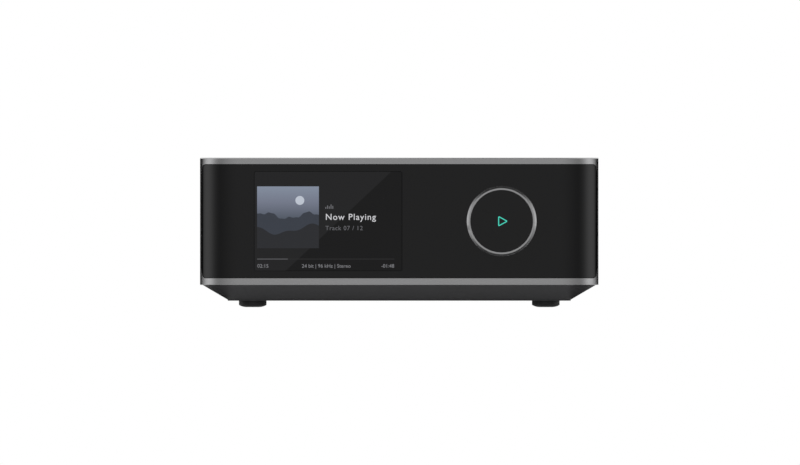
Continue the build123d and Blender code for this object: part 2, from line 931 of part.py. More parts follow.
# Play button symbol: outline triangle that points right
with BuildPart() as play_symbol:
    with BuildSketch(facing(cap_y + symbol_depth)) as mark:
        with Locations((knob_x + symbol_shift, knob_z)):
            Polygon(
                (-symbol_width / 2, -symbol_height / 2),
                (symbol_width / 2, 0),
                (-symbol_width / 2, symbol_height / 2),
                align=None,
            )
        fillet(mark.vertices(), symbol_corner)
        offset(amount=-symbol_stroke, kind=Kind.INTERSECTION, mode=Mode.SUBTRACT)
    extrude(amount=symbol_depth)
store(play_symbol, "play_symbol")

# Play cap: gloss disc in the middle of the ring, with a pocket for its stem
with BuildPart() as play_cap:
    with BuildSketch(facing(cap_back_y)):
        with Locations((knob_x, knob_z)):
            Circle(cap_radius)
    extrude(amount=cap_thickness)
    chamfer(play_cap.faces().sort_by(Axis.Y)[0].edges(), cap_edge_break)
    with BuildSketch(facing(cap_back_y)):
        with Locations((knob_x, knob_z)):
            Circle(stem_radius + seat_gap)
    extrude(amount=stem_seat, mode=Mode.SUBTRACT)
    add(play_symbol.part, mode=Mode.SUBTRACT)
store(play_cap, "play_cap")

# Play stem: clear rod that slides in the guide, lights the symbol and presses the switch
play_stem = turned(
    knob_x,
    knob_z,
    [(0, stem_y), (stem_radius, stem_y), (stem_radius, plunger_y), (0, plunger_y)],
)
store(play_stem, "play_stem")

# Play switch: dome switch on the knob board
plunger_well = plunger_root + button_travel + plunger_gap
with BuildPart() as play_switch:
    with BuildSketch(facing(knob_board_y)):
        with Locations((knob_x, knob_z)):
            Rectangle(switch_size, switch_size)
    extrude(amount=switch_height)
    with BuildSketch(facing(switch_y + plunger_well)):
        with Locations((knob_x, knob_z)):
            Circle(plunger_radius + plunger_gap)
    extrude(amount=plunger_well + overrun, mode=Mode.SUBTRACT)
store(play_switch, "play_switch")

# Switch plunger, which the stem rests on
plunger_back_y = switch_y + plunger_root
switch_plunger = turned(
    knob_x,
    knob_z,
    [(0, plunger_y), (plunger_radius, plunger_y), (plunger_radius, plunger_back_y), (0, plunger_back_y)],
)
store(switch_plunger, "switch_plunger")

# Symbol lights: two light emitting diodes beside the switch
with BuildPart() as symbol_lights:
    with BuildSketch(facing(knob_board_y)):
        with Locations((knob_x - led_offset, knob_z), (knob_x + led_offset, knob_z)):
            Rectangle(led_width, led_length)
    extrude(amount=led_height)
store(symbol_lights, "symbol_lights")

connector_y = main_front_y + connector_setback + connector_depth / 2
connector_top_z = board_top_z + connector_height


def ribbon(x, width, start_y):
    """Flat cable from the front stack through the chassis and down onto its connector."""
    with BuildPart() as piece:
        with BuildSketch(Plane.YZ.offset(x - width / 2)):
            with BuildLine():
                FilletPolyline(
                    (start_y, ribbon_z),
                    (connector_y, ribbon_z),
                    (connector_y, connector_top_z),
                    radius=ribbon_bend,
                )
            trace(line_width=ribbon_thickness)
        extrude(amount=width)
    return piece


# Ribbon cables and their connectors on the main board
store(ribbon(display_x, display_ribbon_width, bracket_y), "display_ribbon")
store(ribbon(knob_x, knob_ribbon_width, chassis_y), "knob_ribbon")
with BuildPart() as ribbon_connectors:
    with BuildSketch(level(board_top_z)):
        for x, width in ((display_x, display_ribbon_width), (knob_x, knob_ribbon_width)):
            with Locations((x, connector_y)):
                Rectangle(width + 2 * connector_margin, connector_depth)
    extrude(amount=connector_height)
store(ribbon_connectors, "ribbon_connectors")

# Main board and power board on the base standoffs
main_board = board(main_left_x, main_right_x, main_front_y, main_standoffs, (foot_x, foot_y))
store(main_board, "main_board")
power_board = board(power_left_x, power_right_x, power_front_y, power_standoffs, (-foot_x, foot_y))
store(power_board, "power_board")
board_screws = small_screws(level(board_top_z), main_standoffs + power_standoffs)
store(board_screws, "board_screws")

# Processor shield: pressed can over the processor
with BuildPart() as processor_shield:
    with BuildSketch(level(board_top_z)):
        with Locations((shield_x, shield_y)):
            Rectangle(shield_size, shield_size)
    extrude(amount=shield_height)
    with BuildSketch(level(board_top_z)):
        with Locations((shield_x, shield_y)):
            Rectangle(shield_size - 2 * shield_wall, shield_size - 2 * shield_wall)
    extrude(amount=shield_height - shield_wall, mode=Mode.SUBTRACT)
store(processor_shield, "processor_shield")

# Heat sink: extruded comb on top of the shield
sink_z = board_top_z + shield_height
with BuildPart() as heat_sink:
    with BuildSketch(facing(shield_y + shield_size / 2)):
        with Locations((shield_x, sink_z + fin_base / 2)):
            Rectangle(shield_size, fin_base)
        with Locations((shield_x, sink_z + fin_base + fin_height / 2)):
            with GridLocations(fin_pitch, 0, fin_count, 1):
                Rectangle(fin_thickness, fin_height)
    extrude(amount=shield_size)
store(heat_sink, "heat_sink")

# Wireless module: small board with a screening can
can_side = wireless_width - 2 * wireless_can_margin
can_front = wireless_depth - 2 * wireless_can_margin
with BuildPart() as wireless_module:
    with BuildSketch(level(board_top_z)):
        with Locations((wireless_x, wireless_y)):
            Rectangle(wireless_width, wireless_depth)
    extrude(amount=wireless_board_thickness)
    with BuildSketch(level(board_top_z + wireless_board_thickness)):
        with Locations((wireless_x, wireless_y)):
            Rectangle(can_side, can_front)
    extrude(amount=wireless_can_height)
store(wireless_module, "wireless_module")

# Antennas: two printed strips on the inside of the plastic rear panel
with BuildPart() as antennas:
    with BuildSketch(facing(panel_back_y)):
        with Locations((-antenna_x, antenna_z), (antenna_x, antenna_z)):
            Rectangle(antenna_width, antenna_height)
    extrude(amount=antenna_thickness)
store(antennas, "antennas")

# Converter chips: one for each stereo pair
with BuildPart() as converter_chips:
    with BuildSketch(level(board_top_z)):
        with Locations((chip_x, chip_y)):
            with GridLocations(chip_pitch, 0, 2, 1):
                Rectangle(chip_size, chip_size)
    extrude(amount=chip_height)
store(converter_chips, "converter_chips")

# Audio capacitors: upright cans with a rolled top edge
with BuildPart() as audio_capacitors:
    with BuildSketch(level(board_top_z)):
        with Locations((can_x, can_y)):
            with GridLocations(can_pitch, can_pitch, can_column_count, can_row_count):
                Circle(can_radius)
    extrude(amount=can_height)
    chamfer(audio_capacitors.faces().group_by(Axis.Z)[-1].edges(), can_bead)
store(audio_capacitors, "audio_capacitors")

# Insulation sheet on the base floor under the power board
sheet_left = power_left_x + sheet_margin
sheet_rear = foot_y - pad_radius - sheet_hole_gap
with BuildPart() as insulation_sheet:
    with BuildSketch(level(floor_z)):
        with Locations(((sheet_left + power_right_x) / 2, (power_front_y + sheet_rear) / 2)):
            Rectangle(power_right_x - sheet_left, sheet_rear - power_front_y)
        with Locations(*power_standoffs):
            Circle(standoff_radius + sheet_hole_gap, mode=Mode.SUBTRACT)
    extrude(amount=sheet_thickness)
store(insulation_sheet, "insulation_sheet")

# Transformer: ferrite core round a wound bobbin
with BuildPart() as transformer:
    with BuildSketch(level(board_top_z)):
        with Locations((transformer_x, transformer_y)):
            Rectangle(core_width, core_depth)
    extrude(amount=core_height)
    with BuildSketch(level(board_top_z)):
        with Locations((transformer_x, transformer_y)):
            RectangleRounded(winding_width, winding_depth, winding_radius)
    extrude(amount=winding_height)
store(transformer, "transformer")

# Mains capacitor: tall can with a rolled top edge
with BuildPart() as mains_capacitor:
    with BuildSketch(level(board_top_z)):
        with Locations((bulk_x, bulk_y)):
            Circle(bulk_radius)
    extrude(amount=bulk_height)
    chamfer(mains_capacitor.faces().sort_by(Axis.Z)[-1].edges(), can_bead)
store(mains_capacitor, "mains_capacitor")

# Mains choke: wound ring lying on the board
with BuildPart() as mains_choke:
    with BuildSketch(facing(choke_y)):
        with Locations((choke_x + choke_ring_radius, board_top_z + choke_section / 2)):
            section = Rectangle(choke_section, choke_section)
        chamfer(section.vertices(), choke_bevel)
    revolve(axis=Axis((choke_x, choke_y, 0), (0, 0, 1)))
store(mains_choke, "mains_choke")

# Fuse: tube in two clips
fuse_z = board_top_z + fuse_lift + fuse_radius
with BuildPart() as fuse:
    with BuildSketch(facing(fuse_y + fuse_length / 2)):
        with Locations((fuse_x, fuse_z)):
            Circle(fuse_radius)
    extrude(amount=fuse_length)
    with BuildSketch(level(board_top_z)):
        with Locations((fuse_x, fuse_y)):
            with GridLocations(0, fuse_length - fuse_clip_length, 1, 2):
                Rectangle(fuse_clip_width, fuse_clip_length)
    extrude(amount=fuse_z - board_top_z)
store(fuse, "fuse")

# Regulator sink: upright plate with fins towards the front
with BuildPart() as regulator_sink:
    with BuildSketch(level(board_top_z)):
        with Locations((sink_x, sink_y)):
            Rectangle(sink_width, sink_plate)
        with Locations((sink_x, sink_y - sink_plate / 2 - sink_fin_length / 2)):
            with GridLocations(sink_fin_pitch, 0, sink_fin_count, 1):
                Rectangle(sink_fin_thickness, sink_fin_length)
    extrude(amount=sink_height)
store(regulator_sink, "regulator_sink")

# Rear panel: black plastic plate with the cut-outs of its sockets
block_cutouts = (
    (optical_x, board_top_z + optical_height / 2, optical_width, optical_height),
    (hdmi_x, hdmi_z, hdmi_width, hdmi_height),
    (usb_x, usb_z, usb_width, usb_height),
    (network_x, network_z, network_width, network_height),
)
with BuildPart() as rear_panel:
    with BuildSketch(facing(panel_back_y)):
        with Locations((0, middle_z)):
            RectangleRounded(
                rear_window_width - 2 * rear_gap,
                window_height - 2 * rear_gap,
                rear_window_radius - rear_gap,
            )
        with Locations(*lug_places):
            Circle(small_screw_radius + screw_gap, mode=Mode.SUBTRACT)
        with Locations(*phono_places):
            Circle(phono_sleeve_radius + cutout_gap, mode=Mode.SUBTRACT)
        for x, z, width, height in block_cutouts:
            with Locations((x, z)):
                Rectangle(width + 2 * cutout_gap, height + 2 * cutout_gap, mode=Mode.SUBTRACT)
        with Locations((trigger_x, trigger_z)):
            Circle(trigger_barrel + cutout_gap, mode=Mode.SUBTRACT)
        with Locations((inlet_x, inlet_z)):
            RectangleRounded(
                inlet_width + 2 * cutout_gap,
                inlet_height + 2 * cutout_gap,
                inlet_corner + cutout_gap,
                mode=Mode.SUBTRACT,
            )
    extrude(amount=panel_back_y - panel_y)
store(rear_panel, "rear_panel")

# Rear panel screws into the housing lugs
rear_panel_screws = small_screws(rearward(panel_y), [(x, -z) for x, z in lug_places])
store(rear_panel_screws, "rear_panel_screws")

# Phono blocks: three moulded blocks behind the panel, two sockets in each
phono_block_height = phono_low + phono_pitch + phono_margin
phono_seat_y = panel_back_y - phono_seat
with BuildPart() as phono_blocks:
    with BuildSketch(facing(panel_back_y)):
        with Locations(*[(x, board_top_z + phono_block_height / 2) for x in phono_x]):
            Rectangle(phono_block_width, phono_block_height)
    extrude(amount=phono_block_depth)
    with BuildSketch(facing(panel_back_y)):
        with Locations(*phono_places):
            Circle(phono_sleeve_radius + seat_gap)
    extrude(amount=phono_seat, mode=Mode.SUBTRACT)
store(phono_blocks, "phono_blocks")


def phono_sleeve(x, z):
    """Outer contact: thin tube with a collar that clamps the panel."""
    end_y = panel_y + phono_stand
    bore = phono_sleeve_radius - phono_sleeve_wall
    return turned(
        x,
        z,
        [
            (bore, phono_seat_y),
            (phono_sleeve_radius, phono_seat_y),
            (phono_sleeve_radius, panel_y),
            (phono_collar_radius, panel_y),
            (phono_collar_radius, panel_y + phono_collar_thickness),
            (phono_sleeve_radius, panel_y + phono_collar_thickness),
            (phono_sleeve_radius, end_y),
            (bore, end_y),
        ],
    ).part


def phono_insert(x, z):
    """Coloured insulator with the blind bore that takes the plug's pin."""
    end_y = panel_y + phono_stand - phono_insert_setback
    radius = phono_sleeve_radius - phono_sleeve_wall - seat_gap
    bore_y = end_y - phono_pin_depth
    return turned(
        x,
        z,
        [
            (0, phono_seat_y),
            (radius, phono_seat_y),
            (radius, end_y),
            (phono_pin_radius, end_y),
            (phono_pin_radius, bore_y),
            (0, bore_y),
        ],
    ).part


# Phono sleeves, and white inserts in the upper sockets over red ones in the lower
sleeve_parts = [phono_sleeve(x, z) for x, z in phono_places]
white_parts = [phono_insert(x, phono_low_z + phono_pitch) for x in phono_x]
red_parts = [phono_insert(x, phono_low_z) for x in phono_x]
with BuildPart() as phono_sleeves:
    add(sleeve_parts)
store(phono_sleeves, "phono_sleeves")
with BuildPart() as white_inserts:
    add(white_parts)
store(white_inserts, "white_inserts")
with BuildPart() as red_inserts:
    add(red_parts)
store(red_inserts, "red_inserts")

# Optical housing: two square sockets, each with a light tip at its back and pin holes for a shutter
optical_inner_y = socket_y - optical_bore_depth
shutter_y = socket_y - shutter_setback - shutter_thickness / 2
pin_hole_half = optical_bore / 2 + shutter_pin_reach + shutter_pin_play
pin_rise = optical_bore / 2 - shutter_pin_drop
with BuildPart() as optical_housing:
    with BuildSketch(facing(socket_y)):
        with Locations((optical_x, board_top_z + optical_height / 2)):
            Rectangle(optical_width, optical_height)
    extrude(amount=optical_depth)
    with BuildSketch(facing(socket_y)):
        with Locations(*[(optical_x, z) for z in optical_levels]):
            Rectangle(optical_bore, optical_bore)
    extrude(amount=optical_bore_depth, mode=Mode.SUBTRACT)
    with BuildSketch(facing(optical_inner_y + optical_tip_length)):
        with Locations(*[(optical_x, z) for z in optical_levels]):
            Circle(optical_tip_radius)
    extrude(amount=optical_tip_length)
    with BuildSketch(Plane.YZ.offset(optical_x - pin_hole_half)):
        with Locations(*[(shutter_y, z + pin_rise) for z in optical_levels]):
            Circle(shutter_pin_radius + shutter_pin_gap)
    extrude(amount=2 * pin_hole_half, mode=Mode.SUBTRACT)
store(optical_housing, "optical_housing")


def shutter(z):
    """Flap with two pin ends that closes the optical socket centred at height z."""
    side = optical_bore - 2 * shutter_gap
    pin_half = optical_bore / 2 + shutter_pin_reach
    with BuildPart() as flap:
        with BuildSketch(facing(shutter_y + shutter_thickness / 2)):
            with Locations((optical_x, z)):
                Rectangle(side, side)
        extrude(amount=shutter_thickness)
        with BuildSketch(Plane.YZ.offset(optical_x - pin_half)):
            with Locations((shutter_y, z + pin_rise)):
                Circle(shutter_pin_radius)
        extrude(amount=2 * pin_half)
    return flap


# Optical shutters: the input is the lower socket
store(shutter(optical_levels[0]), "optical_in_shutter")
store(shutter(optical_levels[1]), "optical_out_shutter")


def hdmi_outline(inset):
    """Adds the video socket's outline, with its two slanted lower corners, to a sketch."""
    half_width = hdmi_width / 2 - inset
    half_height = hdmi_height / 2 - inset
    Polygon(
        (-half_width, half_height),
        (hdmi_bevel - half_width, -half_height),
        (half_width - hdmi_bevel, -half_height),
        (half_width, half_height),
        align=None,
    )


# Video socket: folded steel shell closed at its inner end
with BuildPart() as hdmi_shell:
    with BuildSketch(facing(socket_y)):
        with Locations((hdmi_x, hdmi_z)):
            hdmi_outline(0)
    extrude(amount=hdmi_depth)
    with BuildSketch(facing(socket_y)):
        with Locations((hdmi_x, hdmi_z)):
            hdmi_outline(shell_wall)
    extrude(amount=hdmi_depth - shell_back, mode=Mode.SUBTRACT)
store(hdmi_shell, "hdmi_shell")

# Memory socket: folded steel shell closed at its inner end
with BuildPart() as usb_shell:
    with BuildSketch(facing(socket_y)):
        with Locations((usb_x, usb_z)):
            Rectangle(usb_width, usb_height)
    extrude(amount=usb_depth)
    with BuildSketch(facing(socket_y)):
        with Locations((usb_x, usb_z)):
            Rectangle(usb_width - 2 * shell_wall, usb_height - 2 * shell_wall)
    extrude(amount=usb_depth - shell_back, mode=Mode.SUBTRACT)
store(usb_shell, "usb_shell")

# Socket tongues: insulators that carry the contacts of the video and memory sockets
hdmi_root_y = socket_y - hdmi_depth + shell_back
usb_root_y = socket_y - usb_depth + shell_back
tongue_y = socket_y - tongue_setback
with BuildPart() as socket_tongues:
    with BuildSketch(facing(tongue_y)):
        with Locations((hdmi_x, hdmi_z)):
            Rectangle(hdmi_tongue_width, hdmi_tongue_thickness)
    extrude(amount=tongue_y - hdmi_root_y)
    with BuildSketch(facing(tongue_y)):
        with Locations((usb_x, usb_z + usb_tongue_rise)):
            Rectangle(usb_tongue_width, usb_tongue_thickness)
    extrude(amount=tongue_y - usb_root_y)
store(socket_tongues, "socket_tongues")

# Network socket: moulded block with the plug's stepped mouth
with BuildPart() as network_socket:
    with BuildSketch(facing(socket_y)):
        with Locations((network_x, network_z)):
            Rectangle(network_width, network_height)
    extrude(amount=network_depth)
    with BuildSketch(facing(socket_y)):
        with Locations((network_x, network_bore_z)):
            Rectangle(network_bore_width, network_bore_height)
        with Locations((network_x, network_latch_z)):
            Rectangle(network_latch_width, network_latch_height)
    extrude(amount=network_bore_depth, mode=Mode.SUBTRACT)
store(network_socket, "network_socket")

# Network contacts: a row of springs under the roof of the network socket
contact_y = socket_y - contact_setback
with BuildPart() as network_contacts:
    with BuildSketch(facing(contact_y)):
        with Locations((network_x, network_bore_z + network_bore_height / 2 - contact_thickness / 2)):
            with GridLocations(contact_pitch, 0, contact_count, 1):
                Rectangle(contact_width, contact_thickness)
    extrude(amount=network_bore_depth - contact_setback)
store(network_contacts, "network_contacts")

# Trigger jack: round barrel through the panel, with a blind plug bore
with BuildPart() as trigger_jack:
    with BuildSketch(facing(panel_back_y)):
        with Locations((trigger_x, trigger_z)):
            Rectangle(trigger_width, trigger_height)
    extrude(amount=trigger_depth)
    with BuildSketch(facing(socket_y)):
        with Locations((trigger_x, trigger_z)):
            Circle(trigger_barrel)
    extrude(amount=socket_y - panel_back_y)
    with BuildSketch(facing(socket_y)):
        with Locations((trigger_x, trigger_z)):
            Circle(trigger_bore)
    extrude(amount=trigger_bore_depth, mode=Mode.SUBTRACT)
store(trigger_jack, "trigger_jack")

# Mains inlet: rounded body with the oblong recess of a two-pin lead
with BuildPart() as mains_inlet:
    with BuildSketch(facing(socket_y)):
        with Locations((inlet_x, inlet_z)):
            RectangleRounded(inlet_width, inlet_height, inlet_corner)
    extrude(amount=inlet_depth)
    with BuildSketch(facing(socket_y)):
        with Locations((inlet_x, inlet_z)):
            SlotOverall(inlet_bore_width, inlet_bore_height)
    extrude(amount=inlet_bore_depth, mode=Mode.SUBTRACT)
store(mains_inlet, "mains_inlet")

# Inlet pins: two round blades in the recess
with BuildPart() as inlet_pins:
    with BuildSketch(facing(socket_y - inlet_pin_setback)):
        with Locations((inlet_x, inlet_z)):
            with GridLocations(inlet_pin_pitch, 0, 2, 1):
                Circle(inlet_pin_radius)
    extrude(amount=inlet_bore_depth - inlet_pin_setback)
store(inlet_pins, "inlet_pins")
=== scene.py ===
"""Looks of a half-width network music streamer, seen level from the front in a white studio."""

import json
import math

import bmesh
import bpy
from mathutils import Matrix, Vector


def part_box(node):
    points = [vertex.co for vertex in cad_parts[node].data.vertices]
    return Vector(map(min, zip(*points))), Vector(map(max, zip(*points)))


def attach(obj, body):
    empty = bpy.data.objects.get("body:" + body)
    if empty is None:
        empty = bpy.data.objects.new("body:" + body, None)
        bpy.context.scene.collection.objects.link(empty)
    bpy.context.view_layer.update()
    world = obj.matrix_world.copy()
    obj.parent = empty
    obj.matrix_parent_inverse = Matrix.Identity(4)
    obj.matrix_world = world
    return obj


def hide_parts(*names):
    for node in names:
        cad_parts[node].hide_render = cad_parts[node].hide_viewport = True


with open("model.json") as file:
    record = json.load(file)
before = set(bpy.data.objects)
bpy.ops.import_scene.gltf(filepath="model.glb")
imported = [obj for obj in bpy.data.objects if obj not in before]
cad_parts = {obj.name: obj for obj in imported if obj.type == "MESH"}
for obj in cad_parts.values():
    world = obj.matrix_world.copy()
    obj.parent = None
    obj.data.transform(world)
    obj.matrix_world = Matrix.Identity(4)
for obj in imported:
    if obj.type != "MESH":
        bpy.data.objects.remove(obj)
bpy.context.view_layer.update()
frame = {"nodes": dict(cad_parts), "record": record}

MM = 0.001

# The view: a level, parallel front view, 0.5146 mm to a pixel of the 800 wide picture
pixel = 0.5146 * MM
picture_width = 800 * pixel
eye_x = 0.39 * MM
eye_z = 38.39 * MM
eye_y = -1500 * MM

# Smallest details of the meshes, and the number of steps that round forms are drawn in
weld_gap = 0.002 * MM
flat_angle = math.radians(0.6)
edge_angle = math.radians(28)
print_thickness = 0.02 * MM
bevel_segments = 2
turned_steps = 144
corner_steps = 8
curve_steps = 40
seal_steps = 32
letter_steps = 3


def linear(code):
    """The linear colour of an sRGB hex code, with full alpha."""
    parts = [int(code[place:place + 2], 16) / 255 for place in (1, 3, 5)]
    return (
        *[part / 12.92 if part <= 0.04045 else ((part + 0.055) / 1.055) ** 2.4 for part in parts],
        1.0,
    )


def toned(code, share):
    """The colour of a hex code, lighter or darker by a share."""
    red, green, blue, alpha = linear(code)
    return (red * (1 + share), green * (1 + share), blue * (1 + share), alpha)


def add_node(tree, kind, inputs=None, **settings):
    """Adds a node with its settings, and sets or links its inputs."""
    node = tree.nodes.new(kind)
    for name, value in settings.items():
        setattr(node, name, value)
    for name, value in (inputs or {}).items():
        if isinstance(value, bpy.types.NodeSocket):
            tree.links.new(value, node.inputs[name])
        else:
            node.inputs[name].default_value = value
    return node


def new_material(name):
    """A material with its surface shader, and the object's own coordinates in metres."""
    material = bpy.data.materials.new(name)
    material.use_nodes = True
    tree = material.node_tree
    place = add_node(tree, "ShaderNodeTexCoord").outputs["Object"]
    return material, tree, tree.nodes["Principled BSDF"], place


# The mix node's sockets for two colours and their mixture, which share their names with others
mix_first = 6
mix_second = 7
mix_result = 2

# Layers of ever finer noise in a grain
grain_detail = 4.0


def finish(
    name, color, roughness, grain, relief,
    metallic=0.0, ior=1.5, mottle=0.05, spread=0.03, **sockets,
):
    """A finish with a fine grain. Grain and relief are in millimetres, mottle is the share by which
    the colour varies, and spread is how far the roughness varies."""
    material, tree, shader, place = new_material(name)
    noise = add_node(
        tree, "ShaderNodeTexNoise",
        {"Vector": place, "Scale": 1 / (grain * MM), "Detail": grain_detail},
    )
    tone = add_node(
        tree, "ShaderNodeMix",
        {
            "Factor": noise.outputs["Fac"],
            mix_first: toned(color, -mottle),
            mix_second: toned(color, mottle),
        },
        data_type="RGBA",
    )
    shine = add_node(
        tree, "ShaderNodeMapRange",
        {
            "Value": noise.outputs["Fac"],
            "To Min": roughness - spread,
            "To Max": roughness + spread,
        },
    )
    bump = add_node(
        tree, "ShaderNodeBump", {"Height": noise.outputs["Fac"], "Distance": relief * MM},
    )
    tree.links.new(tone.outputs[mix_result], shader.inputs["Base Color"])
    tree.links.new(shine.outputs["Result"], shader.inputs["Roughness"])
    tree.links.new(bump.outputs["Normal"], shader.inputs["Normal"])
    shader.inputs["Metallic"].default_value = metallic
    shader.inputs["IOR"].default_value = ior
    for socket, value in sockets.items():
        shader.inputs[socket.replace("_", " ")].default_value = value
    return material


# Bead-blasted and anodised aluminium: a soft grey sheen with no streaks. The blast pits are 0.1 mm
# wide and drawn at 0.7 mm, or they wouldn't show.
anodised_aluminium = finish(
    "anodised_aluminium", "#ACACAD", 0.2, 0.7, 0.0008, metallic=1.0, mottle=0.03,
)

# Turned and anodised aluminium: brighter and smoother than the housing, so its bevel catches the
# side light. The turning marks are 0.05 mm apart and drawn as a grain of 0.5 mm.
turned_aluminium = finish(
    "turned_aluminium", "#B0B0B1", 0.13, 0.5, 0.0004, metallic=1.0, mottle=0.02,
)

# Moulded ABS with a spark-eroded grain: dull charcoal with a faint sparkle. The grain is 0.3 mm,
# drawn at 0.9 mm.
moulded_abs = finish("moulded_abs", "#3B3B3D", 0.5, 0.9, 0.004, ior=1.53)

# Moulded rubber: nearly black, with a low smooth shine where the sides turn away. The mould's
# grain is 0.2 mm, drawn at 0.8 mm.
moulded_rubber = finish("moulded_rubber", "#19191A", 0.42, 0.8, 0.003, ior=1.52)

# Near-black rubber in the joint at each end of the fascia, which shows as a plain black line: its
# black is painted shade, standing for the shadow in that gap. Its colour is matched to the photo,
# where the joint gives back almost no light. Its grain is that of the moulded rubber.
shadow_gap_black = finish("shadow_gap_black", "#060606", 0.6, 0.8, 0.003, ior=1.5)

# Polished black acrylic: a deep black face with clean reflections, slightly wavy over 30 mm as
# mouldings are. Its IOR is matched to the face's dim reflection, just under the 1.49 of bare
# acrylic.
polished_acrylic = finish(
    "polished_acrylic", "#030304", 0.08, 30.0, 0.002, ior=1.4, mottle=0.1, spread=0.02,
)

# Moulded PBT of the sockets: black, with a low sheen that picks out their edges. The grain is
# 0.2 mm, drawn at 0.6 mm.
socket_pbt = finish("socket_pbt", "#19191B", 0.38, 0.6, 0.002, ior=1.57)

# Grained ABS of the rear panel: duller than the base, so that the sockets stand out from it. The
# grain is 0.4 mm, drawn at 1 mm.
grained_abs = finish("grained_abs", "#28282A", 0.55, 1.0, 0.006, ior=1.53)

# White nylon of the left channel's rings: slightly warm and waxy, clouded over 1.2 mm.
white_nylon = finish("white_nylon", "#DEDCD6", 0.4, 1.2, 0.001, ior=1.53, mottle=0.02)

# Red nylon of the right channel's rings: a plain strong red, clouded over 1.2 mm.
red_nylon = finish("red_nylon", "#B01818", 0.4, 1.2, 0.001, ior=1.53, mottle=0.03)

# Gold plate on turned brass: warm, bright and smooth. The turning marks are 0.05 mm apart and
# drawn as a grain of 0.6 mm.
gold_plate = finish("gold_plate", "#E8B95A", 0.16, 0.6, 0.0003, metallic=1.0, mottle=0.03)

# Nickel plate on pressed steel: a warm pale grey, with the sheet's faint waviness over 2.5 mm.
nickel_plate = finish("nickel_plate", "#C9C4BB", 0.22, 2.5, 0.002, metallic=1.0, mottle=0.04)

# Bright zinc plate: bluish grey, cloudy over 4 mm.
zinc_plate = finish(
    "zinc_plate", "#B3B8BE", 0.34, 4.0, 0.003, metallic=1.0, mottle=0.12, spread=0.08,
)

# Black oxide on steel screws and the bracket: dark, with an oiled sheen, uneven over 0.8 mm.
black_oxide = finish("black_oxide", "#4A4A4B", 0.36, 0.8, 0.001, metallic=1.0)

# Epoxy glass laminate under green solder mask: the weave shows faintly through it. Its threads
# are 0.5 mm apart, drawn at 1.1 mm.
green_laminate = finish("green_laminate", "#1F4F37", 0.3, 1.1, 0.002, ior=1.55, mottle=0.15)

# Closed-cell foam: a black, open and dull surface. The cells are 0.3 mm wide, drawn at 0.8 mm.
foam_rubber = finish("foam_rubber", "#232323", 0.85, 0.8, 0.04, ior=1.45, mottle=0.2)

# Polarising film on the display cell: near black and glossy, faintly wavy over 8 mm.
polarising_film = finish("polarising_film", "#15151A", 0.12, 8.0, 0.001, ior=1.5)

# Opal polycarbonate of the diffusers: white and soft, clouded over 3 mm.
opal_polycarbonate = finish(
    "opal_polycarbonate", "#EAEBEB", 0.5, 3.0, 0.001, ior=1.58, mottle=0.02,
)

# Moulded epoxy of the chips: dark grey and matt. The filler's grain is 0.05 mm, drawn at 0.5 mm.
chip_epoxy = finish("chip_epoxy", "#2C2C2D", 0.62, 0.5, 0.003, ior=1.55)

# Shrink sleeve of the capacitors: dark blue film, tight and shiny, with ripples of 3 mm.
shrink_sleeve = finish("shrink_sleeve", "#2B3A5C", 0.28, 3.0, 0.004, ior=1.5)

# Black anodised extrusion of the heat sinks: a satin black. The die lines are 0.1 mm apart and
# drawn as a grain of 1.2 mm.
black_anodised = finish("black_anodised", "#3A3A3C", 0.4, 1.2, 0.002, metallic=1.0)

# Sintered ferrite with its varnish: dark grey with pale specks. The grain is 0.1 mm, drawn at
# 0.6 mm.
sintered_ferrite = finish("sintered_ferrite", "#3B3B3C", 0.5, 0.6, 0.004, ior=1.8, mottle=0.25)

# Laminated ribbon film: pale and glossy, wavy over 5 mm.
ribbon_film = finish("ribbon_film", "#DCDDDF", 0.25, 5.0, 0.002, ior=1.6, mottle=0.04)

# Insulating polyester sheet: charcoal and satin, wavy over 6 mm.
polyester_sheet = finish("polyester_sheet", "#57575A", 0.45, 6.0, 0.003, ior=1.6)

# Hard gold on the spring contacts: small bright glints. The rolling marks are 0.05 mm apart and
# drawn as a grain of 0.5 mm.
contact_gold = finish("contact_gold", "#E6BF6C", 0.2, 0.5, 0.0002, metallic=1.0)

# Clear acrylic of the play stem, which carries the symbol's light: see-through and glossy, wavy
# over 10 mm.
clear_acrylic = finish(
    "clear_acrylic", "#E9ECEE", 0.08, 10.0, 0.0005, ior=1.49, Transmission_Weight=0.9,
)

# Glass tube of the fuse: clear, with sharp reflections, wavy over 10 mm.
fuse_glass = finish(
    "fuse_glass", "#E2E6E6", 0.04, 10.0, 0.0005, ior=1.52, Transmission_Weight=0.85,
)

# What lit surfaces are like unlit, and the share by which their light varies
unlit_color = linear("#050505")
unlit_roughness = 0.2
lit_mottle = 0.06


def light_up(tree, shader, color):
    """Makes a surface give off the colour of a socket, over a glossy black."""
    tree.links.new(color, shader.inputs["Emission Color"])
    shader.inputs["Emission Strength"].default_value = 1.0
    shader.inputs["Base Color"].default_value = unlit_color
    shader.inputs["Roughness"].default_value = unlit_roughness


def lit(name, color, grain=1.0):
    """A surface lit from behind, with the slight unevenness of its diffuser over some
    millimetres."""
    material, tree, shader, place = new_material(name)
    noise = add_node(
        tree, "ShaderNodeTexNoise", {"Vector": place, "Scale": 1 / (grain * MM)},
    )
    tone = add_node(
        tree, "ShaderNodeMix",
        {
            "Factor": noise.outputs["Fac"],
            mix_first: toned(color, -lit_mottle),
            mix_second: toned(color, lit_mottle),
        },
        data_type="RGBA",
    )
    light_up(tree, shader, tone.outputs[mix_result])
    return material


# The play symbol: clear acrylic lit blue-green from behind, so that it glows evenly.
lit_acrylic = lit("lit_acrylic", "#3FD0B8")

glass_low, glass_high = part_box("display_glass")


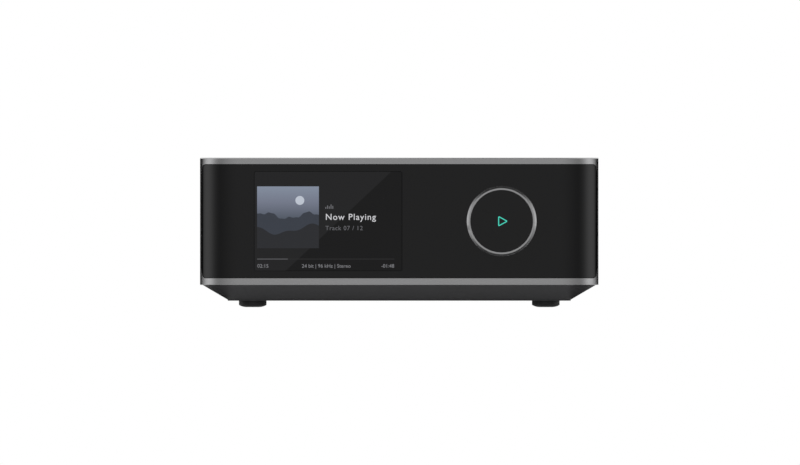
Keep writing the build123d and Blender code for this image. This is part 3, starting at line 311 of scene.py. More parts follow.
def cover_glass_finish():
    """Chemically strengthened glass over a lit display: black and sharp in its reflections, which
    a coating dims below those of bare glass, with a waviness of 40 mm. Its own light has two tones
    of near black, which meet on a slanting line: the lighter upper left is a painted reflection of
    glare."""
    line_top = Vector((-3.73 * MM, 0.0, 70.04 * MM))
    line_foot = Vector((-58.53 * MM, 0.0, 18.58 * MM))
    line_blur = 0.2 * MM
    wave_length = 40 * MM
    wave_height = 0.001 * MM
    coated_ior = 1.35
    glass_roughness = 0.04
    material, tree, shader, place = new_material("cover_glass")
    along = (line_top - line_foot).normalized()
    across = Vector((-along.z, 0.0, along.x))
    side = add_node(
        tree, "ShaderNodeVectorMath", {0: place, 1: across}, operation="DOT_PRODUCT",
    )
    # Share of the painted reflection: the glow turns lighter across the slanting line, as glare on
    # the glass
    lighter = add_node(
        tree, "ShaderNodeMapRange",
        {
            "Value": side.outputs["Value"],
            "From Min": line_top.dot(across) - line_blur,
            "From Max": line_top.dot(across) + line_blur,
        },
    )
    tone = add_node(
        tree, "ShaderNodeMix",
        {
            "Factor": lighter.outputs["Result"],
            mix_first: linear("#010101"),
            mix_second: linear("#141415"),
        },
        data_type="RGBA",
    )
    waves = add_node(
        tree, "ShaderNodeTexNoise", {"Vector": place, "Scale": 1 / wave_length},
    )
    bump = add_node(
        tree, "ShaderNodeBump", {"Height": waves.outputs["Fac"], "Distance": wave_height},
    )
    tree.links.new(tone.outputs[mix_result], shader.inputs["Emission Color"])
    tree.links.new(bump.outputs["Normal"], shader.inputs["Normal"])
    shader.inputs["Emission Strength"].default_value = 1.0
    shader.inputs["Base Color"].default_value = linear("#050506")
    shader.inputs["Roughness"].default_value = glass_roughness
    shader.inputs["IOR"].default_value = coated_ior
    return material


cover_glass = cover_glass_finish()

finish_of_slot = {
    "anodised_aluminium": anodised_aluminium,
    "ring_aluminium": turned_aluminium,
    "base_plastic": moulded_abs,
    "foot_rubber": moulded_rubber,
    "gloss_plastic": polished_acrylic,
    "cover_glass": cover_glass,
    "light_guide": lit_acrylic,
    "clear_plastic": clear_acrylic,
    "panel_plastic": grained_abs,
    "socket_plastic": socket_pbt,
    "white_plastic": white_nylon,
    "red_plastic": red_nylon,
    "gold_plate": gold_plate,
    "nickel_plate": nickel_plate,
    "zinc_steel": zinc_plate,
    "black_steel": black_oxide,
    "board_laminate": green_laminate,
    "foam": foam_rubber,
    "display_cell": polarising_film,
    "diffuser": opal_polycarbonate,
    "chip_epoxy": chip_epoxy,
    "capacitor_sleeve": shrink_sleeve,
    "sink_aluminium": black_anodised,
    "ferrite": sintered_ferrite,
    "ribbon_film": ribbon_film,
    "insulation_film": polyester_sheet,
    "fuse_glass": fuse_glass,
    "contact_gold": contact_gold,
}
slot_of_node = {part["node"]: part["material_slot"] for part in frame["record"]["subparts"]}
body_of_node = {
    node: body for body, nodes in frame["record"]["behaviour"]["bodies"].items() for node in nodes
}
for node, cad_object in frame["nodes"].items():
    for material_slot in cad_object.material_slots:
        material_slot.material = finish_of_slot[slot_of_node[node]]


def mesh_of(work, name):
    """Turns finished working geometry into a mesh."""
    mesh_data = bpy.data.meshes.new(name)
    work.to_mesh(mesh_data)
    work.free()
    return mesh_data


def place_piece(mesh_data, name, material, body):
    """Puts a mesh in the scene as a piece that rides on a body."""
    piece = bpy.data.objects.new(name, mesh_data)
    bpy.context.scene.collection.objects.link(piece)
    mesh_data.materials.clear()
    mesh_data.materials.append(material)
    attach(piece, body)
    return piece


def push_back(work, faces, thickness):
    """Gives flat faces a thickness towards the rear."""
    pushed = bmesh.ops.extrude_face_region(work, geom=faces)
    rear = [item for item in pushed["geom"] if isinstance(item, bmesh.types.BMVert)]
    bmesh.ops.translate(work, verts=rear, vec=Vector((0.0, thickness, 0.0)))


fascia_low, fascia_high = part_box("fascia")
housing_low, housing_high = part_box("housing")
opening_margin = 0.3 * MM


def on_front_opening(point):
    """Whether a point lies on the edge of the housing's front opening, within a margin."""
    in_height = fascia_low.z - opening_margin < point.z < fascia_high.z + opening_margin
    return in_height and point.y < fascia_high.y + opening_margin


def softened(node, width):
    """A piece that stands for a CAD node, with its sharp edges rounded as the mould or the cutter
    leaves them. The edges of the housing's front opening stay crisp against the fascia."""
    work = bmesh.new()
    work.from_mesh(frame["nodes"][node].data)
    bmesh.ops.remove_doubles(work, verts=work.verts, dist=weld_gap)
    bmesh.ops.dissolve_limit(work, angle_limit=flat_angle, verts=work.verts, edges=work.edges)
    for face in work.faces:
        face.smooth = True
    weight = work.edges.layers.float.new("bevel_weight_edge")
    for edge in work.edges:
        if edge.is_manifold and edge.calc_face_angle() > edge_angle:
            if node == "housing" and all(on_front_opening(vert.co) for vert in edge.verts):
                edge.smooth = False
            else:
                edge[weight] = 1.0
    name = node + "_soft"
    material = finish_of_slot[slot_of_node[node]]
    piece = place_piece(mesh_of(work, name), name, material, body_of_node[node])
    bevel = piece.modifiers.new("edges", "BEVEL")
    bevel.width = width * MM
    bevel.segments = bevel_segments
    bevel.limit_method = "WEIGHT"
    bevel.use_clamp_overlap = False
    weights = piece.modifiers.new("normals", "WEIGHTED_NORMAL")
    weights.keep_sharp = True
    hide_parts(node)


# Edge radii in millimetres, by how each piece is made
edge_radii = {
    "housing": 0.2,
    "base": 0.15,
    "feet": 0.15,
    "fascia": 0.2,
    "display_glass": 0.12,
    "volume_ring": 0.08,
    "rear_panel": 0.2,
    "mains_inlet": 0.2,
    "network_socket": 0.15,
    "optical_housing": 0.15,
    "phono_blocks": 0.2,
    "phono_sleeves": 0.12,
    "hdmi_shell": 0.08,
    "usb_shell": 0.08,
    "trigger_jack": 0.12,
}
for node, radius in edge_radii.items():
    softened(node, radius)


def turned(name, profile, middle, material, body):
    """A piece turned about a line from front to back, from the radius and depth of each corner."""
    work = bmesh.new()
    points = [work.verts.new((middle.x + radius, depth, middle.z)) for radius, depth in profile]
    edges = [work.edges.new(pair) for pair in zip(points, points[1:])]
    bmesh.ops.spin(
        work, geom=points + edges, cent=(middle.x, 0.0, middle.z), axis=(0.0, 1.0, 0.0),
        angle=math.tau, steps=turned_steps,
    )
    bmesh.ops.remove_doubles(work, verts=work.verts, dist=weld_gap)
    bmesh.ops.recalc_face_normals(work, faces=work.faces)
    for face in work.faces:
        face.smooth = True
    piece = place_piece(mesh_of(work, name), name, material, body)
    piece.modifiers.new("normals", "WEIGHTED_NORMAL")
    return piece


def rounded_corners(corners, radius):
    """The outline of a polygon that runs anticlockwise, with its corners rounded."""
    outline = []
    for place, corner in enumerate(corners):
        corner = Vector(corner)
        back = (Vector(corners[place - 1]) - corner).normalized()
        ahead = (Vector(corners[(place + 1) % len(corners)]) - corner).normalized()
        half = back.angle(ahead) / 2
        middle = corner + (back + ahead).normalized() * (radius / math.sin(half))
        start = corner + back * (radius / math.tan(half)) - middle
        for step in range(corner_steps + 1):
            turn = Matrix.Rotation((math.pi - 2 * half) * step / corner_steps, 2)
            outline.append(middle + turn @ start)
    return outline


def outlined(name, outer, inner, middle, front, thickness, material, body):
    """A flat line between two outlines of as many points, which faces the front."""
    work = bmesh.new()
    outside, inside = [
        [work.verts.new((middle.x + x * MM, front, middle.z + z * MM)) for x, z in outline]
        for outline in (outer, inner)
    ]
    faces = []
    for step in range(len(outer)):
        ahead = (step + 1) % len(outer)
        faces.append(
            work.faces.new((outside[step], outside[ahead], inside[ahead], inside[step]))
        )
    push_back(work, faces, thickness)
    bmesh.ops.recalc_face_normals(work, faces=work.faces)
    return place_piece(mesh_of(work, name), name, material, body)


def small_blocks(name, blocks, radius, material):
    """Rounded blocks on the casing that make one piece, each from its lowest and highest corners
    in millimetres."""
    work = bmesh.new()
    for low, high in blocks:
        low, high = Vector(low) * MM, Vector(high) * MM
        made = bmesh.ops.create_cube(work, size=1.0)["verts"]
        bmesh.ops.scale(work, verts=made, vec=high - low)
        bmesh.ops.translate(work, verts=made, vec=(low + high) / 2)
    piece = place_piece(mesh_of(work, name), name, material, "casing")
    bevel = piece.modifiers.new("edges", "BEVEL")
    bevel.width = radius * MM
    bevel.segments = bevel_segments


# The play button's cap: a plain disc with a broken edge. The break's own middle stands out by a
# share of its width, which rounds it.
cap_low, cap_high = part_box("play_cap")
cap_middle = (cap_low + cap_high) / 2
cap_radius = (cap_high.x - cap_low.x) / 2
cap_break = 0.15 * MM
break_share = 0.3
cap_profile = [
    (0.0, cap_low.y),
    (cap_radius - cap_break, cap_low.y),
    (cap_radius - break_share * cap_break, cap_low.y + break_share * cap_break),
    (cap_radius, cap_low.y + cap_break),
    (cap_radius, cap_high.y),
    (0.0, cap_high.y),
]
play_face = turned("play_face", cap_profile, cap_middle, polished_acrylic, "play_button")
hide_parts("play_cap")

# The lit triangle lies on the cap as a fine line: its corners in millimetres from the knob's
# middle before they are rounded, its line's width, and the radii of its corners. The line's inner
# edge is the same triangle drawn smaller about the middle of its inscribed circle.
symbol_corners = [(-1.8, 2.86), (-1.8, -2.86), (3.36, 0.0)]
symbol_line = 0.52
outer_rounding = 0.5
inner_rounding = 0.12
symbol_height = symbol_corners[2][0] - symbol_corners[0][0]
symbol_side = math.hypot(symbol_height, symbol_corners[0][1])
inscribed = symbol_corners[0][1] * symbol_height / (symbol_corners[0][1] + symbol_side)
symbol_middle = symbol_corners[0][0] + inscribed
inner_share = (inscribed - symbol_line) / inscribed
inner_corners = [
    (symbol_middle + (x - symbol_middle) * inner_share, z * inner_share)
    for x, z in symbol_corners
]
play_line = outlined(
    "play_line", rounded_corners(symbol_corners, outer_rounding),
    rounded_corners(inner_corners, inner_rounding), cap_middle,
    cap_low.y - print_thickness, 2 * print_thickness, lit_acrylic, "play_button",
)
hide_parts("play_symbol")

# The joint round the fascia's ends: its width, and the corner radii of the housing's front opening
# seen from the side and of the housing seen from above
end_joint = 0.15 * MM
opening_corner = 7.0 * MM
housing_corner = 20.0 * MM
# The seal's depth in the joint, and how far it stays clear of the surfaces round it
seal_depth = 1.5 * MM
seal_clearance = 0.02 * MM


def shadow_gap_seals(name, material):
    """Near-black strips in the joint between each end of the fascia and the housing, flush with the
    housing's wall: a dark thing put where the gap lies in shade, so painted shade. They follow the
    opening's edge from top to foot."""
    turn_y = fascia_high.y + end_joint - opening_corner
    top_z = fascia_high.z + end_joint - opening_corner
    foot_z = fascia_low.z - end_joint + opening_corner
    inner_reach = opening_corner - end_joint + seal_clearance
    outer_reach = opening_corner - seal_clearance
    work = bmesh.new()
    for side in (-1, 1):
        rows = []
        for step in range(seal_steps + 1):
            angle = math.pi / 2 - math.pi * step / seal_steps
            middle_z = top_z if step < seal_steps / 2 else foot_z
            row = []
            for reach in (inner_reach, outer_reach):
                y = turn_y + reach * math.cos(angle)
                z = middle_z + reach * math.sin(angle)
                behind_corner = y - housing_low.y - housing_corner
                wall = (
                    housing_high.x - housing_corner
                    + math.sqrt(housing_corner ** 2 - behind_corner ** 2)
                )
                row += [
                    work.verts.new((side * (wall - drop), y, z))
                    for drop in (seal_clearance, seal_depth)
                ]
            rows.append([row[0], row[1], row[3], row[2]])
        for first, last in zip(rows, rows[1:]):
            for place in range(len(first)):
                beside = (place + 1) % len(first)
                work.faces.new((first[place], first[beside], last[beside], last[place]))
        work.faces.new(rows[0])
        work.faces.new(rows[-1])
    bmesh.ops.recalc_face_normals(work, faces=work.faces)
    return place_piece(mesh_of(work, name), name, material, "casing")


# The dark strips at the fascia's ends are painted shade for the gap there
shadow_gap_seals("shadow_gap_seals", shadow_gap_black)

# Small trim, in millimetres. First the foam strip on the chassis's top edge, which keeps daylight
# from showing over the fascia: its lowest and highest corners, and its edge radius
foam_low = (-83.5, -90.0, 72.4)
foam_high = (81.5, -88.7, 74.2)
foam_rounding = 0.3
small_blocks("light_seal", [(foam_low, foam_high)], foam_rounding, foam_rubber)

# Gold contacts on the tongues of the digital sockets, at their standard pitches
contact_front = 92.0
contact_rear = 100.8
contact_thickness = 0.1
contact_rounding = 0.02
hdmi_x = 9.0
hdmi_levels = (20.6, 21.8)
hdmi_pitch = 1.0
hdmi_places = range(-4, 5)
hdmi_width = 0.5
usb_x = -7.5
usb_level = 21.4
usb_offsets = (-3.5, -1.0, 1.0, 3.5)
usb_width = 1.2


def contact_block(x, level, width):
    """A contact's lowest and highest corners, from its middle and its width."""
    return (
        (x - width / 2, contact_front, level - contact_thickness / 2),
        (x + width / 2, contact_rear, level + contact_thickness / 2),
    )


tongue_contacts = [
    contact_block(hdmi_x + place * hdmi_pitch, level, hdmi_width)
    for level in hdmi_levels
    for place in hdmi_places
] + [contact_block(usb_x + offset, usb_level, usb_width) for offset in usb_offsets]
small_blocks(
    "tongue_contacts", tongue_contacts, contact_rounding, contact_gold,
)

# Two light pipes over the network socket's mouth
socket_x = -25.5
pipe_offset = 5.4
pipe_width = 2.2
pipe_front = 101.0
pipe_rear = 102.05
pipe_foot = 30.3
pipe_top = 31.4
pipe_rounding = 0.2
pipe_blocks = [
    (
        (socket_x + side * pipe_offset - pipe_width / 2, pipe_front, pipe_foot),
        (socket_x + side * pipe_offset + pipe_width / 2, pipe_rear, pipe_top),
    )
    for side in (-1, 1)
]
small_blocks("network_lights", pipe_blocks, pipe_rounding, opal_polycarbonate)


# The picture on the display, in millimetres from the glass's left and top edges
def on_screen(x, down, layer):
    """A point on the display, some print layers in front of the glass."""
    return Vector((
        glass_low.x + x * MM, glass_low.y - layer * print_thickness, glass_high.z - down * MM,
    ))


def screen_shape(name, outlines, material, layer=1):
    """Flat shapes on the display, each one print layer thick."""
    work = bmesh.new()
    for outline in outlines:
        corners = [work.verts.new(on_screen(x, down, layer)) for x, down in outline]
        push_back(work, [work.faces.new(corners)], print_thickness)
    bmesh.ops.recalc_face_normals(work, faces=work.faces)
    return place_piece(mesh_of(work, name), name, material, "casing")


# The height of a capital as a share of the font's size, and the layer that the words' middle is on,
# so that their rear lies on the glass
capital_share = 0.72
words_layer = 0.5


def screen_words(name, words, x, down, height, material, align="LEFT", weight=0.0, spacing=1.0):
    """A line of words on the display, by the height of its capitals and the level of its foot."""
    letters = bpy.data.curves.new(name, "FONT")
    letters.body = words
    letters.size = height / capital_share * MM
    letters.offset = weight * MM
    letters.space_character = spacing
    letters.extrude = print_thickness / 2
    letters.align_x = align
    letters.resolution_u = letter_steps
    letters.materials.append(material)
    piece = bpy.data.objects.new(name, letters)
    bpy.context.scene.collection.objects.link(piece)
    stood_up = Matrix.Rotation(math.pi / 2, 4, "X")
    piece.matrix_world = Matrix.Translation(on_screen(x, down, words_layer)) @ stood_up
    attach(piece, "casing")


# Tones of the display: a lit screen has no grain of its own, so its colours vary only as its
# backlight does
white_words = lit("white_words", "#C9C9CC")
grey_words = lit("grey_words", "#626266")
dim_words = lit("dim_words", "#7E7E82")
bright_line = lit("bright_line", "#505053")
faint_line = lit("faint_line", "#0D0D0E")
far_hill_tone = lit("far_hill_tone", "#2A303B", grain=4.0)
near_hill_tone = lit("near_hill_tone", "#12141A", grain=4.0)
pale_disc_tone = lit("pale_disc_tone", "#B9C0CC", grain=6.0)


def dusk_sky_finish(top, foot):
    """A lit dusk sky, blue grey above and darker towards the hills."""
    material, tree, shader, place = new_material("dusk_sky")
    height = add_node(tree, "ShaderNodeSeparateXYZ", {"Vector": place}).outputs["Z"]
    share = add_node(
        tree, "ShaderNodeMapRange", {"Value": height, "From Min": foot, "From Max": top},
    )
    ramp = add_node(tree, "ShaderNodeValToRGB", {"Fac": share.outputs["Result"]})
    ramp.color_ramp.elements[0].color = linear("#474F5C")
    ramp.color_ramp.elements[1].color = linear("#7D8798")
    ramp.color_ramp.elements.new(0.5).color = linear("#6C7283")
    light_up(tree, shader, ramp.outputs["Color"])
    return material


# The album cover: a generic dusk landscape in a square
cover_left = 1.4
cover_top = 7.6
cover_size = 31.8
cover_right = cover_left + cover_size
cover_foot = cover_top + cover_size
horizon = cover_top + 13.5
sky_overlap = 3.0
far_base = horizon + 1.5
near_base = horizon + 8.5
# Swells of the hills: height, width and offset as a share of the width
far_swells = ((1.5, 24.0, 0.1), (0.7, 9.0, 0.4), (0.25, 3.6, 0.7))
near_swells = ((2.2, 37.0, 0.45), (0.8, 13.0, 0.1))
disc_x = cover_left + 22.0
disc_down = cover_top + 7.2
disc_radius = 2.3


def hill_line(base, swells):
    """The skyline of a row of hills, as a sum of swells."""
    line = []
    for step in range(curve_steps + 1):
        x = cover_size * step / curve_steps
        rise = sum(
            height * math.sin(math.tau * (x / width + offset)) for height, width, offset in swells
        )
        line.append((cover_left + x, base - rise))
    return line


cover_corners = [
    (cover_left, cover_top),
    (cover_right, cover_top),
    (cover_right, cover_foot),
    (cover_left, cover_foot),
]
foot_corners = cover_corners[2:]
disc = []
for step in range(curve_steps):
    turn = math.tau * step / curve_steps
    disc.append((disc_x + disc_radius * math.cos(turn), disc_down + disc_radius * math.sin(turn)))
dusk_sky = dusk_sky_finish(on_screen(0, cover_top, 1).z, on_screen(0, horizon + sky_overlap, 1).z)
screen_shape("cover_sky", [cover_corners], dusk_sky, layer=1)
far_hills = hill_line(far_base, far_swells) + foot_corners
screen_shape("cover_far_hills", [far_hills], far_hill_tone, layer=2)
near_hills = hill_line(near_base, near_swells) + foot_corners
screen_shape("cover_near_hills", [near_hills], near_hill_tone, layer=3)
screen_shape("cover_disc", [disc], pale_disc_tone, layer=2)


def bar(left, top, width, height):
    """The corners of an upright rectangle on the display."""
    return [(left, top), (left + width, top), (left + width, top + height), (left, top + height)]


# The row of level bars, and the line that shows how much of the track is played
words_left = 36.5
level_heights = (0.9, 1.7, 1.2, 2.2, 1.5)
level_pitch = 0.9
level_width = 0.5
level_foot = 19.1
line_down = 44.75
line_height = 0.45
line_end = 72.0
played_end = 17.2
level_bars = [
    bar(words_left + place * level_pitch, level_foot - height, level_width, height)
    for place, height in enumerate(level_heights)
]
played_bar = bar(cover_left, line_down, played_end - cover_left, line_height)
waiting_bar = bar(played_end, line_down, line_end - played_end, line_height)
screen_shape("level_bars", level_bars, grey_words)
screen_shape("played_line", [played_bar], bright_line)
screen_shape("waiting_line", [waiting_bar], faint_line)

# The display's words: name, words, place across, level of the foot, height of the capitals,
# material, and how they are set. They are generic stand-ins.
foot_row = 49.4
foot_height = 1.9
screen_lines = (
    ("title_words", "Now Playing", words_left, 24.8, 3.25, white_words,
     {"weight": 0.03, "spacing": 1.14}),
    ("track_words", "Track 07 / 12", words_left, 30.1, 2.3, grey_words, {"spacing": 1.1}),
    ("played_words", "02:15", 1.5, foot_row, foot_height, dim_words, {}),
    ("format_words", "24 bit | 96 kHz | Stereo", 37.0, foot_row, foot_height, dim_words,
     {"align": "CENTER"}),
    ("left_words", "-01:48", line_end, foot_row, foot_height, dim_words, {"align": "RIGHT"}),
)
for *line, setting in screen_lines:
    screen_words(*line, **setting)


# The studio
def stage_piece(name, mesh_data, material):
    """Puts a mesh in the scene as part of the studio."""
    piece = bpy.data.objects.new(name, mesh_data)
    bpy.context.scene.collection.objects.link(piece)
    mesh_data.materials.append(material)
    return piece


def card_mesh(name, points, columns):
    """A card from rows of points, each row with the same number of columns."""
    faces = [
        (start, start + 1, start + columns + 1, start + columns)
        for start in range(len(points) - columns)
        if (start + 1) % columns
    ]
    mesh_data = bpy.data.meshes.new(name)
    mesh_data.from_pydata(points, [], faces)
    return mesh_data


def mirrored_card(name, points, columns, material):
    """A card that shows in shiny surfaces alone, as a studio card out of the picture does."""
    card = stage_piece(name, card_mesh(name, points, columns), material)
    card.visible_camera = False
    card.visible_diffuse = False
    card.visible_transmission = False
    card.visible_volume_scatter = False
    card.visible_shadow = False


def level_corners(sides, depths, level):
    """The corners of a level rectangle, from its left and right and its front and rear."""
    return [(x, y, level) for y in depths for x in sides]


def level_card(name, sides, depths, level, material):
    """A level card over or under the streamer."""
    mirrored_card(name, level_corners(sides, depths, level), len(sides), material)


def graded_glow(name, share_of, stops):
    """A card's surface that gives a grey light of its own. Each stop is a share of the card's
    reach, and its brightness, where 1 is white."""
    material = bpy.data.materials.new(name)
    material.use_nodes = True
    tree = material.node_tree
    tree.nodes.clear()
    place = add_node(tree, "ShaderNodeTexCoord").outputs["Object"]
    ramp = add_node(tree, "ShaderNodeValToRGB", {"Fac": share_of(tree, place)})
    points = ramp.color_ramp.elements
    while len(points) < len(stops):
        points.new(1.0)
    for point, (share, level) in zip(points, stops):
        point.position = share
        point.color = (level, level, level, 1.0)
    light = add_node(tree, "ShaderNodeEmission", {"Color": ramp.outputs["Color"]})
    add_node(tree, "ShaderNodeOutputMaterial", {"Surface": light.outputs["Emission"]})
    return material


def bearing_share(tree, place):
    """The bearing round the streamer, from 0 in front to 1 behind it."""
    parts = add_node(tree, "ShaderNodeSeparateXYZ", {"Vector": place}).outputs
    sideways = add_node(tree, "ShaderNodeMath", {0: parts["X"]}, operation="ABSOLUTE")
    forward = add_node(tree, "ShaderNodeMath", {0: parts["Y"], 1: -1.0}, operation="MULTIPLY")
    bearing = add_node(
        tree, "ShaderNodeMath", {0: sideways.outputs["Value"], 1: forward.outputs["Value"]},
        operation="ARCTAN2",
    )
    share = add_node(
        tree, "ShaderNodeMath", {0: bearing.outputs["Value"], 1: math.pi}, operation="DIVIDE",
    )
    return share.outputs["Value"]


def even_glow(name, brightness):
    """A card's surface that gives the same grey light all over."""
    return graded_glow(name, bearing_share, [(0.0, brightness), (1.0, brightness)])


# A grey light tent round the streamer. Each row is a bearing in degrees from the front, the
# panel's brightness there, and its height in metres. The sides are brightest, and the back is
# black and low, so that it shows only in what turns away from the camera.
tent = (
    (0, 0.577, 5.0),
    (8, 0.57, 5.0),
    (20, 0.54, 4.5),
    (32, 0.485, 4.2),
    (41, 0.435, 4.0),
    (50, 0.385, 3.5),
    (58, 0.355, 3.0),
    (66, 0.41, 2.6),
    (75, 0.57, 2.2),
    (83, 0.79, 1.8),
    (90, 0.97, 1.6),
    (98, 1.03, 1.4),
    (104, 0.97, 1.3),
    (110, 0.85, 1.2),
    (116, 0.68, 1.0),
    (122, 0.53, 0.8),
    (128, 0.35, 0.6),
    (134, 0.17, 0.5),
    (139, 0.04, 0.4),
    (144, 0.0, 0.4),
    (180, 0.0, 0.4),
)
tent_radius = 3.0
tent_steps = 180
behind = tent[-1][0]
tent_bearings = [2 * behind * step / tent_steps - behind for step in range(tent_steps + 1)]


def tent_height(bearing):
    """The height of the tent's panels at a bearing in degrees."""
    place = next(place for place, row in enumerate(tent[1:]) if bearing <= row[0])
    (first, _, low), (last, _, high) = tent[place:place + 2]
    return low + (high - low) * (bearing - first) / (last - first)


def row_round(radius, heights):
    """A row of points round the streamer, one at each bearing of the tent."""
    turns = [math.radians(bearing) for bearing in tent_bearings]
    return [
        (radius * math.sin(turn), -radius * math.cos(turn), height)
        for turn, height in zip(turns, heights)
    ]


tent_glow = graded_glow(
    "tent_glow", bearing_share, [(bearing / behind, level) for bearing, level, _ in tent],
)
tent_feet = [0.0] * len(tent_bearings)
tent_tops = [tent_height(abs(bearing)) for bearing in tent_bearings]
tent_points = row_round(tent_radius, tent_feet) + row_round(tent_radius, tent_tops)
mirrored_card("light_tent", tent_points, len(tent_bearings), tent_glow)

# The tent's panels go on over the floor as a sheet, just above it. Near the streamer it is pale
# behind as well, for the rear wall, and its side panels lie further forward, because the front
# corners see them from beside the middle.
sheet_level = 0.3 * MM
sheet_radii = (0.154, 0.6, tent_radius)
near_level = 0.25
forward_shift = 18
shift_start = 58
shift_full = 98


def near_bearing(bearing):
    """The bearing on the near sheet that stands for a bearing of the tent, both in degrees."""
    share = (bearing - shift_start) / (shift_full - shift_start)
    return bearing - forward_shift * min(max(share, 0.0), 1.0)


near_glow = graded_glow(
    "near_glow", bearing_share,
    [(near_bearing(bearing) / behind, max(level, near_level)) for bearing, level, _ in tent],
)
sheet_heights = [sheet_level] * len(tent_bearings)
sheet_rows = [row_round(radius, sheet_heights) for radius in sheet_radii]
mirrored_card("near_sheet", sheet_rows[0] + sheet_rows[1], len(tent_bearings), near_glow)
mirrored_card("far_sheet", sheet_rows[1] + sheet_rows[2], len(tent_bearings), tent_glow)

# Two strips in front of the knob, one above and one below it, so that its bevel is bright at its
# sides alone. Each stop is a share of the strip's reach from the knob's middle, and a brightness.
ring_low, ring_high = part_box("volume_ring")
knob_x = (ring_low.x + ring_high.x) / 2
strip_reach = 400 * MM
strip_sides = (knob_x - strip_reach, knob_x + strip_reach)
strip_depths = (-114 * MM, -107 * MM)
over_level = 85 * MM
under_level = 0.6 * MM
over_stops = (
    (0.0, 0.03), (0.0625, 0.04), (0.086, 0.09), (0.121, 0.25), (0.177, 0.46), (0.28, 0.68),
    (0.575, 0.78), (1.0, 0.9),
)
under_stops = (
    (0.0, 0.07), (0.0625, 0.05), (0.091, 0.06), (0.13, 0.14), (0.189, 0.3), (0.3, 0.53),
    (0.62, 0.66), (1.0, 0.8),
)


def sideways_share(tree, place):
    """The distance to either side of the knob's middle, as a share of the strip's reach."""
    parts = add_node(tree, "ShaderNodeSeparateXYZ", {"Vector": place}).outputs
    offset = add_node(tree, "ShaderNodeMath", {0: parts["X"], 1: knob_x}, operation="SUBTRACT")
    reach = add_node(
        tree, "ShaderNodeMath", {0: offset.outputs["Value"]}, operation="ABSOLUTE",
    )
    share = add_node(
        tree, "ShaderNodeMath", {0: reach.outputs["Value"], 1: strip_reach}, operation="DIVIDE",
    )
    return share.outputs["Value"]


over_glow = graded_glow("over_glow", sideways_share, over_stops)
under_glow = graded_glow("under_glow", sideways_share, under_stops)
level_card("over_strip", strip_sides, strip_depths, over_level, over_glow)
level_card("under_strip", strip_sides, strip_depths, under_level, under_glow)

# A dark sheet under the streamer, seen only in reflections: a painted shadow that stands for the
# streamer's shadow on the floor, so that the base and the feet turn dark as they turn away. A paler
# card on its front part is a painted reflection of the floor there, for the base's front to mirror.
# Each has one brightness all over.
shadow_sheet_sides = (-105 * MM, 105 * MM)
shadow_sheet_depths = (-100 * MM, 104 * MM)
shadow_sheet_level = 0.6 * MM
shadow_sheet_brightness = 0.02
card_sides = (-90 * MM, 90 * MM)
card_depths = (-101 * MM, -60 * MM)
card_level = 0.8 * MM
card_brightness = 0.3
painted_shadow_glow = even_glow("painted_shadow_glow", shadow_sheet_brightness)
edge_glow = even_glow("edge_glow", card_brightness)
# Painted shadow under the streamer, and painted reflection of the floor in front of it
level_card("painted_shadow_sheet", shadow_sheet_sides, shadow_sheet_depths, shadow_sheet_level, painted_shadow_glow)
level_card("front_card", card_sides, card_depths, card_level, edge_glow)


def white_where_seen(tree, seen_strength, own_strength):
    """The strength of a white background: one value where a camera, mirror or glass ray sees it,
    and the plain lighting level for all other rays."""
    path = add_node(tree, "ShaderNodeLightPath")
    seen = add_node(
        tree, "ShaderNodeMath",
        {0: path.outputs["Is Camera Ray"], 1: path.outputs["Is Glossy Ray"]}, operation="ADD",
    )
    seen = add_node(
        tree, "ShaderNodeMath",
        {0: seen.outputs["Value"], 1: path.outputs["Is Transmission Ray"]},
        operation="ADD", use_clamp=True,
    )
    return add_node(
        tree, "ShaderNodeMapRange",
        {"Value": seen.outputs["Value"], "To Min": own_strength, "To Max": seen_strength},
    ).outputs["Result"]


# The level of the plain light from all round, which with the lamps renders a colour about as it
# is written
plain_level = 0.7
world = bpy.data.worlds.new("white_studio")
bpy.context.scene.world = world
world.use_nodes = True
world_tree = world.node_tree
background = world_tree.nodes["Background"]
background.inputs["Color"].default_value = (1.0, 1.0, 1.0, 1.0)
world_tree.links.new(
    white_where_seen(world_tree, 1.0, plain_level), background.inputs["Strength"],
)

# The floor: its reach in metres, the mottle of its rolled paint, and its own light where it is seen
floor_reach = 6.0
paint_grain = 3 * MM
paint_roughness = 0.9
floor_light = 0.25


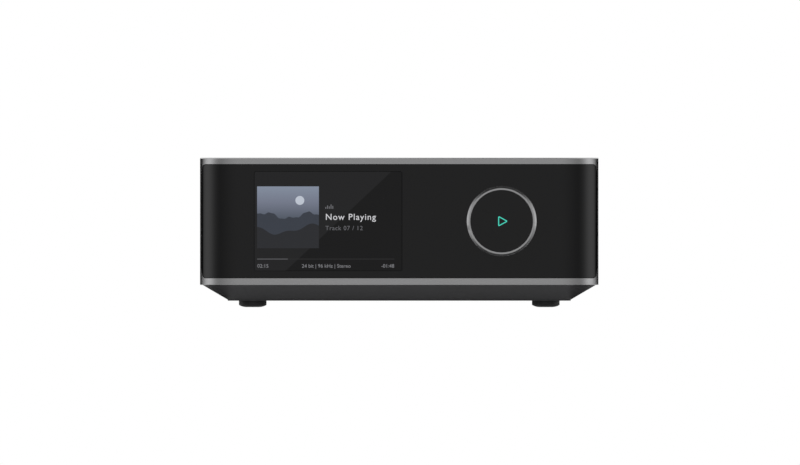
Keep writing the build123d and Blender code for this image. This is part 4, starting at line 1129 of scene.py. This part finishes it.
def pale_floor_finish():
    """Matt white paint, which a little light of its own brings to white where no shadow lies."""
    material, tree, shader, place = new_material("matt_white_paint")
    noise = add_node(
        tree, "ShaderNodeTexNoise", {"Vector": place, "Scale": 1 / paint_grain},
    )
    tone = add_node(
        tree, "ShaderNodeMix",
        {
            "Factor": noise.outputs["Fac"],
            mix_first: linear("#E4E4E4"),
            mix_second: linear("#E8E8E8"),
        },
        data_type="RGBA",
    )
    tree.links.new(tone.outputs[mix_result], shader.inputs["Base Color"])
    tree.links.new(
        white_where_seen(tree, floor_light, 0.0), shader.inputs["Emission Strength"],
    )
    shader.inputs["Emission Color"].default_value = (1.0, 1.0, 1.0, 1.0)
    shader.inputs["Roughness"].default_value = paint_roughness
    shader.inputs["Specular IOR Level"].default_value = 0.0
    return material


floor_span = (-floor_reach, floor_reach)
floor_points = level_corners(floor_span, floor_span, 0.0)
stage_piece("floor", card_mesh("floor", floor_points, len(floor_span)), pale_floor_finish())

# Soft boxes that point at the streamer: name, place and size in metres, and power in watts
lamp_target = Vector((0.0, 0.0, 0.04))
soft_boxes = (
    ("key_lamp", (-1.3, -1.6, 1.9), 1.4, 9.0),
    ("fill_lamp", (1.6, -1.2, 1.5), 1.2, 5.0),
    ("rear_lamp", (0.4, 1.8, 1.9), 1.4, 7.0),
)
for name, place, size, power in soft_boxes:
    light = bpy.data.lights.new(name, "AREA")
    light.size = size
    light.energy = power
    lamp = bpy.data.objects.new(name, light)
    bpy.context.scene.collection.objects.link(lamp)
    lamp.location = place
    lamp.rotation_euler = (lamp_target - Vector(place)).to_track_quat("-Z", "Y").to_euler()
    # It isn't mirrored, so that the cards alone shape the reflections
    lamp.visible_glossy = False

camera_data = bpy.data.cameras.new("camera")
camera_data.type = "ORTHO"
camera_data.ortho_scale = picture_width
camera = bpy.data.objects.new("camera", camera_data)
bpy.context.scene.collection.objects.link(camera)
camera.location = (eye_x, eye_y, eye_z)
camera.rotation_euler = (math.pi / 2, 0.0, 0.0)
bpy.context.scene.camera = camera
bpy.context.scene.view_settings.view_transform = "Standard"
